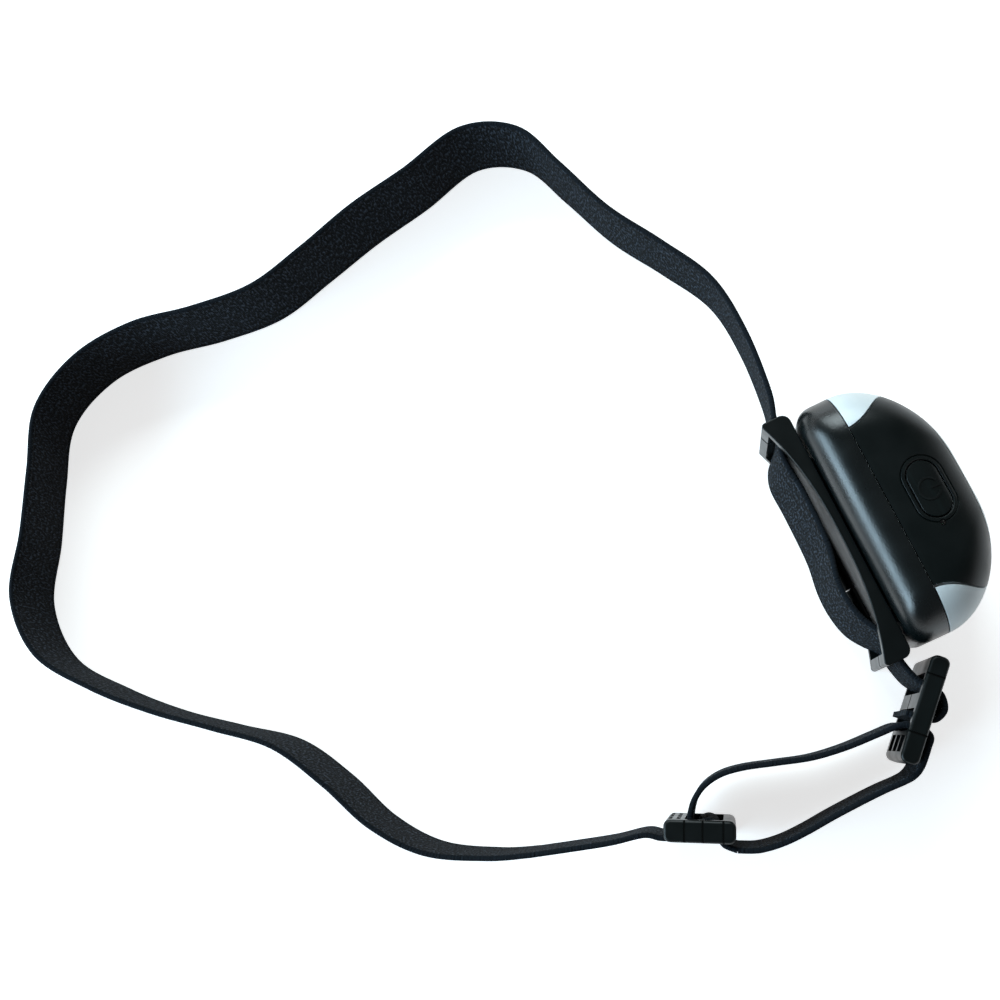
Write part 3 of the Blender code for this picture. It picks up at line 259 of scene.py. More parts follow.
# Values worked out from the sizes above
HALF_WIDTH = HOUSING_WIDTH / 2
BACK_Y = SEAM_Y + REAR_DEPTH
FACE_Y = SEAM_Y - FRONT_DEPTH
BACK_EDGE_RADIUS = REAR_DEPTH - SEAM_STRAIGHT
FRONT_CURVE_DEPTH = FRONT_DEPTH - SEAM_STRAIGHT
CURVE_START_Y = FACE_Y + FRONT_CURVE_DEPTH
FACE_CAVITY_Y = FACE_Y + FACE_WALL
BAY_HALF = (CELL_LENGTH + CELL_NUB_LENGTH + SPRING_LENGTH + 3 * FIT_GAP) / 2
RIB_X = BAY_HALF + PLATE_THICK + FIT_GAP
OPTIC_Z = HOUSING_HEIGHT / 2 - OPTIC_DROP
LENS_HEIGHT = HOUSING_HEIGHT - FACE_TOP_DROP - TOE_RADIUS - 2 * LENS_FRAME
MAIN_CUP_RADIUS = LENS_HEIGHT / 2 - LENS_LIP - CUP_WALL
FLOOD_X = MAIN_CUP_RADIUS + CUP_GAP + FLOOD_CUP_RADIUS
LENS_WIDTH = 2 * (FLOOD_X + FLOOD_CUP_RADIUS + CUP_WALL + LENS_LIP)
LENS_FRONT_Y = FACE_Y + LENS_SINK
LENS_BACK_Y = LENS_FRONT_Y + LENS_THICK
REFLECTOR_FRONT_Y = FACE_CAVITY_Y + FIT_GAP
REFLECTOR_BACK_Y = REFLECTOR_FRONT_Y + REFLECTOR_DEPTH
POST_X = LENS_WIDTH / 2 + POST_ASIDE
BOARD_HEIGHT = LENS_HEIGHT + 2 * BOARD_OVERLAP
BOARD_FRONT_Y = REFLECTOR_BACK_Y + FIT_GAP
BOARD_BACK_Y = BOARD_FRONT_Y + BOARD_THICK
BOARD_TOP_Z = OPTIC_Z + BOARD_HEIGHT / 2
POST_END_Y = BOARD_FRONT_Y - FIT_GAP
SWITCH_Y = BOARD_FRONT_Y - FIT_GAP - SWITCH_SIZE / 2
SWITCH_BASE_Z = OPTIC_Z + LENS_HEIGHT / 2 - LENS_LIP + FIT_GAP
SWITCH_TOP_Z = SWITCH_BASE_Z + SWITCH_HEIGHT + PLUNGER_RISE
SADDLE_FRONT_Y = FACE_Y + SADDLE_FRONT_MARGIN
BUTTON_Y = SWITCH_Y + BUTTON_OFFSET
LIGHT_PIPE_X = -BUTTON_LENGTH / 2 - LIGHT_PIPE_ASIDE
LIGHT_PIPE_Y = BUTTON_Y + LIGHT_PIPE_BACK
CASE_AXIS = (SEAM_Y, CASE_AXIS_Z)
CASE_PIN_HALF = CASE_INNER_X + 2 * CASE_KNUCKLE
CASE_BORE = (CASE_PIN_RADIUS + PIN_CLEAR, CASE_AXIS, CASE_PIN_HALF + FIT_GAP)
CASE_RELIEF = CASE_BARREL_RADIUS + 2 * FIT_GAP
CASE_FRONT_RELIEF = CASE_RELIEF + CASE_SWING_ROOM
CORNER_AT_CASE_AXIS = math.sqrt(SECTION_CORNER ** 2 - (SECTION_CORNER - CASE_AXIS_Z) ** 2)
CASE_RELIEF_HALF = HALF_WIDTH - SECTION_CORNER + CORNER_AT_CASE_AXIS
BRACKET_HALF = HALF_WIDTH + BRACKET_OVERHANG
BRACKET_FRONT_Y = BACK_Y + BRACKET_GAP
BRACKET_BASE_Z = GUIDE_LIFT - FIT_GAP - BRACKET_RAIL
BRACKET_TOP_Z = GUIDE_LIFT + STRAP_WIDTH + FIT_GAP + BRACKET_RAIL
END_BAR_X = BRACKET_HALF - END_BAR_WIDTH
TILT_AXIS = (BRACKET_FRONT_Y + BRACKET_PLATE, TILT_AXIS_Z)
TILT_PIN_HALF = TILT_PIN_LENGTH / 2
TILT_BORE = (TILT_PIN_RADIUS + PIN_CLEAR, TILT_AXIS, TILT_PIN_HALF + FIT_GAP)
TILT_RELIEF = TILT_BARREL_RADIUS + 2 * FIT_GAP
GUIDE_MIDDLE_Z = GUIDE_LIFT + STRAP_WIDTH / 2
FITTING_INNER_BASE_Z = GUIDE_LIFT - FIT_GAP
FITTING_INNER_TOP_Z = GUIDE_LIFT + STRAP_WIDTH + FIT_GAP
FITTING_BASE_Z = FITTING_INNER_BASE_Z - FITTING_RAIL
FITTING_TOP_Z = FITTING_INNER_TOP_Z + FITTING_RAIL

# Mesh detail: steps along curves, angles in degrees of rings and edges, least distance between points
CORNER_STEPS = 14
STRIP_STEPS = 30
SADDLE_STEPS = 24
HOLLOW_STEPS = 48
ROUND_SIDES = 40
SMALL_SIDES = 24
EDGE_STEPS = 4
FITTING_STEPS = 6
REAR_RING_TURN = 6
FRONT_RING_TURN = 5
SHARP_ANGLE = 35.0
ROUNDED_ANGLE = 40.0
SAME_POINT = 1e-6


def from_right(x, y):
    """Plan point of an x and y laid from the housing's back right corner."""
    return HALF_WIDTH + x, BACK_Y + y


def from_left(x, y):
    """Plan point of an x and y laid from the housing's back left corner."""
    return x - HALF_WIDTH, BACK_Y + y


CONNECTOR = (from_left(*CONNECTOR_START), CONNECTOR_HEADING, 1)
SLIDER = (from_left(*SLIDER_START), SLIDER_HEADING, -1)


# The strap's section from its edge inward: height, half thickness
SELVEDGE = ((0.0, 0.2), (0.1, 0.42), (0.35, 0.6), (0.8, 0.68), (1.3, 0.66), (1.7, 0.58), (2.4, 0.6),
            (7.0, 0.62))

# Weave of the strap: pitches and sizes, then shares of its pattern, then its tones
RIB_PITCH = 1.0
YARN_PITCH = 0.8
RIM_HIGHLIGHT_WIDTH = 0.6
EDGE_LINE = 2.0
EDGE_PIT = 0.7
PIT_PITCH = 1.7
SPECK_SIZE = 0.5
SPECK_SHARE = 0.3
YARN_SWAY = 3.0
RIB_SHARE = 0.2
PIT_SPAN = (-0.1, 0.4)
PIT_TONE = 0.8
PIT_SINK = -0.6
FADE_SIZE = 6.0
FADE_SHARE = 0.35
WEAVE_DEPTH = 0.2
YARN_DARK = (0.0015, 0.0018, 0.002)
YARN_MIDDLE = (0.005, 0.0066, 0.0085)
YARN_PALE = (0.055, 0.066, 0.085)
# Painted highlight: the paler tone of the strap's rim along both edges.
YARN_RIM_HIGHLIGHT = (0.009, 0.0115, 0.015)
YARN_TONES = ((0.3, YARN_DARK), (0.58, YARN_MIDDLE), (0.9, YARN_PALE))

# Plastics: colour, roughness, size of the grain, depth of the grain, shine
GRAINED_BLACK = ((0.0015, 0.0035, 0.0038), 0.28, 0.4, 0.04, 0.55)
SOFT_BLACK = ((0.002, 0.0042, 0.0042), 0.38, 0.5, 0.01, 0.25)
PALE_SHELL = ((0.74, 0.79, 0.8), 0.36, 0.6, 0.008, 0.5)
MARK_BLACK = ((0.004, 0.006, 0.006), 0.35, 0.5, 0.005, 0.3)
SATIN_BLACK = ((0.002, 0.0035, 0.0035), 0.36, 0.9, 0.006, 0.28)

# Metals: colour, roughness, size of the brushing
BARE_STEEL = ((0.55, 0.55, 0.54), 0.3, 1.5)
BLACKENED_STEEL = ((0.04, 0.042, 0.045), 0.45, 1.5)
MIRROR_SILVER = ((0.88, 0.88, 0.89), 0.1, 3.0)

# Usual span of a cloudy value, how tone and roughness follow it, and how much paler sharp edges are painted
# as a painted highlight
CLOUD_SPAN = (0.3, 0.7)
CLOUD_SIZE = 7.0
TONE_SWING = 0.04
BRUSH_TONE = 0.85
BRUSH_STRETCH = 0.1
SMOOTHER = 0.05
ROUGHER = 0.06
BRUSH_ROUGHER = 0.08
EDGE_HIGHLIGHT_SPAN = (0.53, 0.62)
DARK_EDGE_HIGHLIGHT = 1.6
PALE_EDGE_HIGHLIGHT = 1.05

# How the strap's two moving stretches would bend between the bracket and the slider, in metres; the script
# does not use them
FEED_BLEND = ((-0.0364, 0.114, 0.015), (-0.046, 0.0782, 0.015))
DOUBLE_BLEND = ((-0.047, 0.036, 0.015), (-0.047, 0.066, 0.015))

# Stage, in metres but for the lens: camera, floor, world, lights as (name, place, aim, size, power, colour)
CAMERA_PLACE = (-0.031408, 0.059935, 0.351)
CAMERA_RIGHT = (-0.410273, -0.897086, -0.16405)
CAMERA_UP = (0.883588, -0.435546, 0.171964)
CAMERA_LENS = 48.6
FLOOR_Z = -0.0002
FLOOR_HALF = 4.0
FLOOR_GLOW = 0.72
WORLD_LEVEL = 0.13
BACKDROP_EDGE = (0.1, 0.3)
WORLD_TONE = (0.95, 0.98, 1.0)
LIGHTS = (
    ("end_window", (0.75, -0.1, 0.55), (0.0, 0.0, 0.02), (0.6, 0.5), 7.0, (0.82, 0.96, 1.0)),
    ("back_window", (0.1, 0.9, 0.38), (0.0, 0.0, 0.03), (0.9, 0.4), 12.0, (0.6, 0.84, 1.0)),
)


# Mesh helpers

def new_item(name, data):
    """Object that shows the data, linked to the scene."""
    item = bpy.data.objects.new(name, data)
    bpy.context.collection.objects.link(item)
    return item


def shade(mesh):
    """Smooth shading, broken at sharp edges."""
    mesh.shade_smooth()
    mesh.set_sharp_from_angle(angle=math.radians(SHARP_ANGLE))


def solid(name, points, faces, finish=None):
    """One named mesh object from points in millimetres, with its faces turned outward."""
    mesh = bpy.data.meshes.new(name)
    mesh.from_pydata([tuple(value * MM for value in point) for point in points], [], faces)
    shaped = bmesh.new()
    shaped.from_mesh(mesh)
    bmesh.ops.recalc_face_normals(shaped, faces=shaped.faces)
    shaped.to_mesh(mesh)
    shaped.free()
    shade(mesh)
    if finish:
        mesh.materials.append(finish)
    return new_item(name, mesh)


def faces_between(starts, count):
    """Faces that join each ring of points to the next; starts are the numbers of the rings' first points."""
    faces = []
    for low, high in zip(starts, starts[1:]):
        for index in range(count):
            after = (index + 1) % count
            faces.append((low + index, low + after, high + after, high + index))
    return faces


def loft(name, rings, finish=None, sheet=False):
    """Solid skinned over rings of equal point counts, with flat end caps, or stepped caps for a sheet."""
    count = len(rings[0])
    points = [point for ring in rings for point in ring]
    faces = []
    for start in (0, len(points) - count):
        if sheet:
            faces += [(start + step, start + step + 1, start + count - 2 - step, start + count - 1 - step)
                      for step in range(count // 2 - 1)]
        else:
            faces.append(list(range(start, start + count)))
    faces += faces_between(range(0, len(points), count), count)
    return solid(name, points, faces, finish)


def prism(name, outline, axis, low, high, finish=None):
    """Solid from an outline pushed along one axis; the outline holds the other two values."""
    rings = []
    for level in (low, high):
        ring = []
        for pair in outline:
            point = list(pair)
            point.insert("xyz".index(axis), level)
            ring.append(tuple(point))
        rings.append(ring)
    return loft(name, rings, finish)


def box(name, low, high):
    outline = [(low[0], low[1]), (high[0], low[1]), (high[0], high[1]), (low[0], high[1])]
    return prism(name, outline, "z", low[2], high[2])


def on_circle(centre, radius, angle):
    return centre[0] + radius * math.cos(angle), centre[1] + radius * math.sin(angle)


def circle(centre, radius, sides=ROUND_SIDES):
    turn = 2 * math.pi / sides
    return [on_circle(centre, radius, turn * step) for step in range(sides)]


def rounded_outline(centre, half_width, half_height, radius, steps=CORNER_STEPS):
    """Rectangle with round corners, counter-clockwise."""
    outline = []
    for quarter, (side_x, side_y) in enumerate(((1, 1), (-1, 1), (-1, -1), (1, -1))):
        middle = (centre[0] + side_x * (half_width - radius), centre[1] + side_y * (half_height - radius))
        for step in range(steps + 1):
            outline.append(on_circle(middle, radius, math.pi / 2 * (quarter + step / steps)))
    pairs = zip(outline, outline[-1:] + outline)
    return [point for point, before in pairs if math.dist(point, before) > SAME_POINT]


def applied(item):
    """New mesh of an item with its modifiers carried out."""
    return bpy.data.meshes.new_from_object(item.evaluated_get(bpy.context.evaluated_depsgraph_get()))


def combine(target, tool, operation):
    """Carry out a Boolean on the target, then drop the tool."""
    step = target.modifiers.new("step", "BOOLEAN")
    step.operation = operation
    step.solver = "EXACT"
    step.object = tool
    shaped = applied(target)
    target.modifiers.remove(step)
    finishes = list(target.data.materials)
    target.data = shaped
    shaped.materials.clear()
    for finish in finishes:
        shaped.materials.append(finish)
    shade(shaped)
    bpy.data.objects.remove(tool, do_unlink=True)
    return target


def cut(target, tool):
    return combine(target, tool, "DIFFERENCE")


def join(target, tool):
    return combine(target, tool, "UNION")


def drawn_in(outline, inset):
    """Outline moved inward by an even distance, whichever way round it runs."""
    pairs = list(zip(outline, outline[1:] + outline[:1]))
    area = sum(start[0] * end[1] - start[1] * end[0] for start, end in pairs)
    inward = math.copysign(inset, area)
    moved = []
    for before, point, after in zip(outline[-1:] + outline, outline, outline[1:] + outline[:1]):
        ahead = (Vector(after) - Vector(before)).normalized()
        moved.append((point[0] - ahead.y * inward, point[1] + ahead.x * inward))
    return moved


def soft_prism(name, outline, low, high, edge, finish):
    """Upright solid whose top and foot edges are rounded by a radius."""
    turns = [math.pi / 2 * step / EDGE_STEPS for step in range(EDGE_STEPS + 1)]
    foot = [(edge * (1 - math.sin(turn)), low + edge * (1 - math.cos(turn))) for turn in turns]
    head = [(inset, low + high - level) for inset, level in foot[::-1]]
    rings = [[(x, y, level) for x, y in drawn_in(outline, inset)] for inset, level in foot + head]
    return loft(name, rings, finish)


def polish(item, width, segments=BEVEL_STEPS):
    """Round the sharp edges of a finished piece and keep its broad faces shaded flat."""
    edge = item.modifiers.new("edge", "BEVEL")
    edge.width = width * MM
    edge.segments = segments
    edge.limit_method = "ANGLE"
    edge.angle_limit = math.radians(ROUNDED_ANGLE)
    edge.miter_outer = "MITER_ARC"
    even = item.modifiers.new("even", "WEIGHTED_NORMAL")
    even.keep_sharp = True
    shaped = applied(item)
    item.modifiers.clear()
    item.data = shaped
    return item


# The housing's outer form

def oval(share, power):
    return max(0.0, 1.0 - share ** power) ** (1.0 / power)


def section_sizes(depth, inset):
    """Half width, top and bottom of the housing's section at a depth, drawn in by inset."""
    half_width = HALF_WIDTH - inset
    top = HOUSING_HEIGHT - inset
    bottom = inset
    corner_start = BACK_Y - BACK_CORNER_RADIUS
    edge_start = BACK_Y - BACK_EDGE_RADIUS
    toe_start = FACE_Y + TOE_RADIUS
    if depth > corner_start:
        reach = min(1.0, (depth - corner_start) / (BACK_CORNER_RADIUS - inset))
        half_width = HALF_WIDTH - BACK_CORNER_RADIUS + (BACK_CORNER_RADIUS - inset) * oval(reach, 2)
    if depth > edge_start:
        reach = min(1.0, (depth - edge_start) / (BACK_EDGE_RADIUS - inset))
        rise = (BACK_EDGE_RADIUS - inset) * oval(reach, 2)
        top = HOUSING_HEIGHT - BACK_EDGE_RADIUS + rise
        bottom = BACK_EDGE_RADIUS - rise
    if depth < CURVE_START_Y:
        reach = min(1.0, (CURVE_START_Y - depth) / (FRONT_CURVE_DEPTH - inset))
        face_half = FACE_FLAT / 2
        half_width = face_half + (HALF_WIDTH - face_half - inset) * oval(reach, FRONT_PLAN_POWER)
        top = HOUSING_HEIGHT - FACE_TOP_DROP + (FACE_TOP_DROP - inset) * oval(reach, FRONT_TOP_POWER)
    if depth < toe_start:
        reach = min(1.0, (toe_start - depth) / (TOE_RADIUS - inset))
        bottom = TOE_RADIUS - (TOE_RADIUS - inset) * oval(reach, 2)
    return half_width, top, bottom


def corner_radius(top, bottom, inset):
    """Corner radius of a section: the full corner at full height, tighter where the section is lower."""
    return max(LEAST_CORNER, SECTION_CORNER - inset - (HOUSING_HEIGHT - 2 * inset - top + bottom) / 2)


def section_ring(depth, inset):
    half_width, top, bottom = section_sizes(depth, inset)
    radius = corner_radius(top, bottom, inset)
    outline = rounded_outline((0.0, (top + bottom) / 2), half_width, (top - bottom) / 2, radius)
    return [(x, depth, z) for x, z in outline]


def rear_depths(inset):
    """Depths from the seam to the back, closer where the back edge turns."""
    start = BACK_Y - BACK_EDGE_RADIUS
    reach = BACK_EDGE_RADIUS - inset
    return [start + reach * math.sin(math.radians(angle)) for angle in range(0, 91, REAR_RING_TURN)]


def front_depths(inset):
    """Depths from the seam to the face, closer where the face turns."""
    reach = FRONT_CURVE_DEPTH - inset
    return [CURVE_START_Y - reach * math.sin(math.radians(angle)) for angle in range(0, 91, FRONT_RING_TURN)]


def case_rings(start, depths, inset=0.0):
    """Rings of one half of the housing, from a start through its depths, drawn in by inset."""
    return [section_ring(y, inset) for y in [start] + depths(inset)]


def top_height(y, inset=0.0):
    return section_sizes(y, inset)[1]


BUTTON_FLANGE_Z = top_height(BUTTON_Y - BUTTON_WIDTH / 2 - BUTTON_FLANGE, FRONT_WALL) - FIT_GAP


def saddle_point(side, ahead, spare, inset):
    """Point of the saddle's sheet: side runs from edge to edge, ahead from the seam to the bowed front."""
    across = abs(side)
    back = SEAM_Y - SEAM_GAP / 2 + spare
    front = SADDLE_FRONT_Y - spare + SADDLE_FRONT_BOW * across ** SADDLE_BOW_POWER
    depth = back + (front - back) * ahead
    half_width, top, bottom = section_sizes(depth, inset)
    radius = corner_radius(top, bottom, inset)
    flat = half_width - radius
    share = min(1.0, max(0.0, (SEAM_Y - depth) / SADDLE_TURN_DEPTH)) ** SADDLE_TURN_POWER
    turn = SADDLE_SEAM_TURN + (SADDLE_EDGE_TURN - SADDLE_SEAM_TURN) * share
    along = across * (flat + radius * math.radians(turn) + 2 * spare)
    angle = max(0.0, along - flat) / radius
    x = math.copysign(min(along, flat) + radius * math.sin(angle), side)
    return x, depth, top - radius + radius * math.cos(angle)


def saddle_solid(name, spare, outer_inset, inner_inset, finish=None):
    """Closed sheet over the top of the housing between two depths of inset, widened by spare."""
    sides = [step / STRIP_STEPS for step in range(-STRIP_STEPS, STRIP_STEPS + 1)]
    rings = []
    for step in range(SADDLE_STEPS + 1):
        ahead = math.sin(math.pi / 2 * step / SADDLE_STEPS)
        upper = [saddle_point(side, ahead, spare, outer_inset) for side in sides]
        lower = [saddle_point(side, ahead, spare, inner_inset) for side in sides]
        rings.append(upper + lower[::-1])
    return loft(name, rings, finish, sheet=True)


# Housing pieces

def barrel_pair(shell, spans, axis, radius, web_low, web_high, trim_rings=None):
    """Join hinge knuckles to a shell: a round barrel and a web over each span along X."""
    for low, high in spans:
        barrel = prism("barrel", circle(axis, radius), "x", low, high)
        web = box("web", (low, *web_low), (high, *web_high))
        if trim_rings:
            cut(web, loft("trim", trim_rings))
        join(shell, join(barrel, web))


def both_sides(inner, length):
    """Spans along X of a pair of pieces, one each side of the middle."""
    return ((inner, inner + length), (-inner - length, -inner))


def rod_along_x(radius, axis, half_length):
    return prism("rod", circle(axis, radius), "x", -half_length, half_length)


def case_knuckles(shell, relief, spans, web_y):
    """Make room for the case hinge at a shell's foot, and join bored knuckles with webs from Y to Y."""
    cut(shell, rod_along_x(relief, CASE_AXIS, CASE_RELIEF_HALF))
    half = CASE_BARREL_RADIUS / 2
    barrel_pair(shell, spans, CASE_AXIS, CASE_BARREL_RADIUS,
                (web_y[0], CASE_AXIS_Z - half), (web_y[1], CASE_AXIS_Z + half))
    cut(shell, rod_along_x(*CASE_BORE))


def rear_shell(finish):
    """Rear half of the housing: a tray for the cells, with knuckles for both hinges."""
    seam = SEAM_Y + SEAM_GAP / 2
    shell = loft("rear_case", case_rings(seam, rear_depths), finish)
    cut(shell, loft("hollow", case_rings(seam - CUT_SPARE, rear_depths, REAR_WALL)))
    for low, high in both_sides(RIB_X, RIB_THICK):
        join(shell, box("rib", (low, seam + SEAM_STRAIGHT, BACK_EDGE_RADIUS),
                        (high, BACK_Y - REAR_WALL / 2, HOUSING_HEIGHT - BACK_EDGE_RADIUS)))
    case_knuckles(shell, CASE_RELIEF, both_sides(CASE_INNER_X + CASE_KNUCKLE, CASE_KNUCKLE),
                  (SEAM_Y + CASE_PIN_RADIUS, SEAM_Y + CASE_RELIEF + REAR_WALL))
    mid_wall = case_rings(seam, rear_depths, REAR_WALL / 2)
    barrel_pair(shell, both_sides(TILT_INNER_X, TILT_KNUCKLE), TILT_AXIS, TILT_BARREL_RADIUS,
                (BACK_Y - BACK_EDGE_RADIUS / 2, TILT_AXIS_Z - TILT_PIN_RADIUS),
                (TILT_AXIS[0], TILT_AXIS_Z + TILT_BARREL_RADIUS), mid_wall)
    cut(shell, rod_along_x(*TILT_BORE))
    return shell


def button_outline(spare):
    half_width = BUTTON_WIDTH / 2 + spare
    return rounded_outline((0.0, BUTTON_Y), BUTTON_LENGTH / 2 + spare, half_width, half_width)


def through_top(name, outline):
    """Cutter that reaches from the board's height out through the housing's top."""
    return prism(name, outline, "z", BOARD_TOP_Z, HOUSING_HEIGHT + CUT_SPARE)


def pierce(sheet, button_spare):
    """Cut the holes for the button and the light pipe."""
    cut(sheet, through_top("button_hole", button_outline(button_spare)))
    pipe = circle((LIGHT_PIPE_X, LIGHT_PIPE_Y), LIGHT_PIPE_RADIUS + PIN_CLEAR, SMALL_SIDES)
    return cut(sheet, through_top("pipe_hole", pipe))


def front_shell(finish):
    """Front half of the housing: the pale shell with its lens window, board posts and saddle recess."""
    seam = SEAM_Y - SEAM_GAP / 2
    shell = loft("front_case", case_rings(seam, front_depths), finish)
    deep = [y for y in front_depths(FRONT_WALL) if y > FACE_CAVITY_Y + FIT_GAP] + [FACE_CAVITY_Y]
    cut(shell, loft("hollow", [section_ring(y, FRONT_WALL) for y in [seam + CUT_SPARE] + deep]))
    for side in (-1, 1):
        centre = (side * POST_X, OPTIC_Z)
        join(shell, prism("post", circle(centre, POST_RADIUS), "y", FACE_CAVITY_Y - FIT_GAP, POST_END_Y))
        cut(shell, prism("pilot", circle(centre, SCREW_RADIUS + PIN_CLEAR), "y",
                         BOARD_BACK_Y - SCREW_LENGTH - FIT_GAP, POST_END_Y + CUT_SPARE))
    cut(shell, saddle_solid("recess", FIT_GAP, -CUT_SPARE, SADDLE_THICK + FIT_GAP))
    pierce(shell, FIT_GAP)
    ahead = FACE_Y - CUT_SPARE
    cut(shell, prism("lens_seat", lens_outline(FIT_GAP), "y", ahead, LENS_BACK_Y + FIT_GAP))
    cut(shell, prism("window", lens_outline(-LENS_LIP), "y", ahead, FACE_CAVITY_Y + CUT_SPARE))
    case_knuckles(shell, CASE_FRONT_RELIEF, both_sides(CASE_INNER_X, CASE_KNUCKLE - FIT_GAP),
                  (SEAM_Y - CASE_FRONT_RELIEF - FRONT_WALL, SEAM_Y - CASE_PIN_RADIUS))
    return shell


def skin_deep(tool, low_inset, high_inset):
    """Keep only the layer of a tool that lies between two insets of the housing's top."""
    return combine(tool, saddle_solid("skin", FIT_GAP, high_inset, low_inset), "INTERSECT")


def top_ring(section):
    """Ring-shaped tool round the button; its section's corners are (spare, rise above the housing's top)."""
    rings = [[(x, y, top_height(y) + rise) for x, y in button_outline(spare)] for spare, rise in section]
    count = len(rings[0])
    points = [point for ring in rings for point in ring]
    starts = [*range(0, len(points), count), 0]
    return solid("ring", points, faces_between(starts, count))


def ring_line():
    """Tool for the fine line round the button, a groove with sloping sides."""
    inner, outer = RING_SPARE - RING_WIDTH, RING_SPARE + RING_WIDTH
    return top_ring(((inner, RING_DEPTH), (RING_SPARE, -RING_DEPTH), (outer, RING_DEPTH)))


def sloped_edge(spare, side, rise):
    """Tool that slopes an upper edge round the button; side is 1 for material outside the edge, else -1."""
    edge = BUTTON_EDGE
    low = spare - side * edge
    return top_ring(((low, rise - 2 * edge), (spare + 2 * side * edge, rise + edge), (low, rise + edge)))


def saddle_shade_sheet(finish):
    """Black sheet in the recess under the saddle: painted shade that keeps the gaps round the saddle and
    button dark.
    """
    shade_sheet = saddle_solid("saddle_shade_sheet", FIT_GAP * SHADE_SHEET_FILL, SADDLE_THICK + FIT_GAP * (1 - SHADE_SHEET_FILL),
                       SADDLE_THICK + 2 * FIT_GAP, finish)
    return pierce(shade_sheet, FIT_GAP / 2)


def saddle_cover(finish):
    cover = saddle_solid("saddle", 0.0, 0.0, SADDLE_THICK, finish)
    pierce(cover, FIT_GAP)
    cut(cover, sloped_edge(FIT_GAP, 1, 0.0))
    return cut(cover, ring_line())


def power_button(finish):
    """Stadium button that follows the housing's top, with a flange inside and a stem to the switch."""
    foot = BUTTON_FLANGE_Z - BUTTON_FLANGE
    button = prism("button_cap", button_outline(0.0), "z", foot, HOUSING_HEIGHT + CUT_SPARE, finish)
    combine(button, loft("form", case_rings(SEAM_Y, front_depths, BUTTON_SINK)), "INTERSECT")
    cut(button, sloped_edge(0.0, -1, -BUTTON_SINK))
    join(button, prism("flange", button_outline(BUTTON_FLANGE), "z", foot, BUTTON_FLANGE_Z))
    return join(button, prism("stem", circle((0.0, SWITCH_Y), STEM_RADIUS), "z",
                              SWITCH_TOP_Z + BUTTON_TRAVEL + PIN_CLEAR, foot + BUTTON_FLANGE / 2))


def lens_outline(spare):
    half_height = LENS_HEIGHT / 2 + spare
    radius = half_height - LENS_SIDE_FLAT / 2
    return rounded_outline((0.0, OPTIC_Z), LENS_WIDTH / 2 + spare, half_height, radius)


def power_mark(finish):
    """Raised power symbol: a ring open towards the front, and a bar in the opening."""
    start, length = MARK_OPENING / 2, 360 - MARK_OPENING
    turns = [math.radians(start + length * step / ROUND_SIDES - 90) for step in range(ROUND_SIDES + 1)]
    arc = []
    for radius, order in ((MARK_RADIUS + MARK_LINE / 2, 1), (MARK_RADIUS - MARK_LINE / 2, -1)):
        arc += [on_circle((0.0, BUTTON_Y), radius, turn) for turn in turns[::order]]
    mark = through_top("power_mark", arc)
    bar = [(side * MARK_LINE / 2, BUTTON_Y - reach) for side, reach in
           ((-1, MARK_BAR_START), (-1, MARK_BAR_END), (1, MARK_BAR_END), (1, MARK_BAR_START))]
    insets = (BUTTON_SINK + MARK_RISE, BUTTON_SINK - MARK_RISE)
    stroke = skin_deep(through_top("bar", bar), *insets)
    skin_deep(mark, *insets)
    join(mark, stroke)
    mark.data.materials.clear()
    mark.data.materials.append(finish)
    return mark


# Head bracket

def hollow_y(x):
    """Head side of the bracket: hollow, to lie against a forehead."""
    return BRACKET_FRONT_Y + BRACKET_CROWN + BRACKET_HOLLOW * abs(x / BRACKET_HALF) ** HOLLOW_POWER


def bracket_corner(side, middle_y, radius, start):
    """Quarter circle in plan at one end of the bracket, from a start angle in degrees."""
    middle = (side * (BRACKET_HALF - radius), middle_y)
    angles = [math.radians(start + 90 * step / CORNER_STEPS) for step in range(CORNER_STEPS + 1)]
    return [on_circle(middle, radius, angle) for angle in angles]


def bracket_outline():
    """Plan of the bracket: round corners on the lamp's side, and a hollow with round ends on the head's."""
    front = BRACKET_FRONT_Y + BRACKET_CORNER
    end_x = BRACKET_HALF - BRACKET_END_ROUND
    end_y = hollow_y(end_x) - BRACKET_END_ROUND
    outline = bracket_corner(-1, front, BRACKET_CORNER, 180) + bracket_corner(1, front, BRACKET_CORNER, 270)
    outline += bracket_corner(1, end_y, BRACKET_END_ROUND, 0)
    for step in range(1, HOLLOW_STEPS):
        x = end_x * (1 - 2 * step / HOLLOW_STEPS)
        outline.append((x, hollow_y(x)))
    return outline + bracket_corner(-1, end_y, BRACKET_END_ROUND, 90)


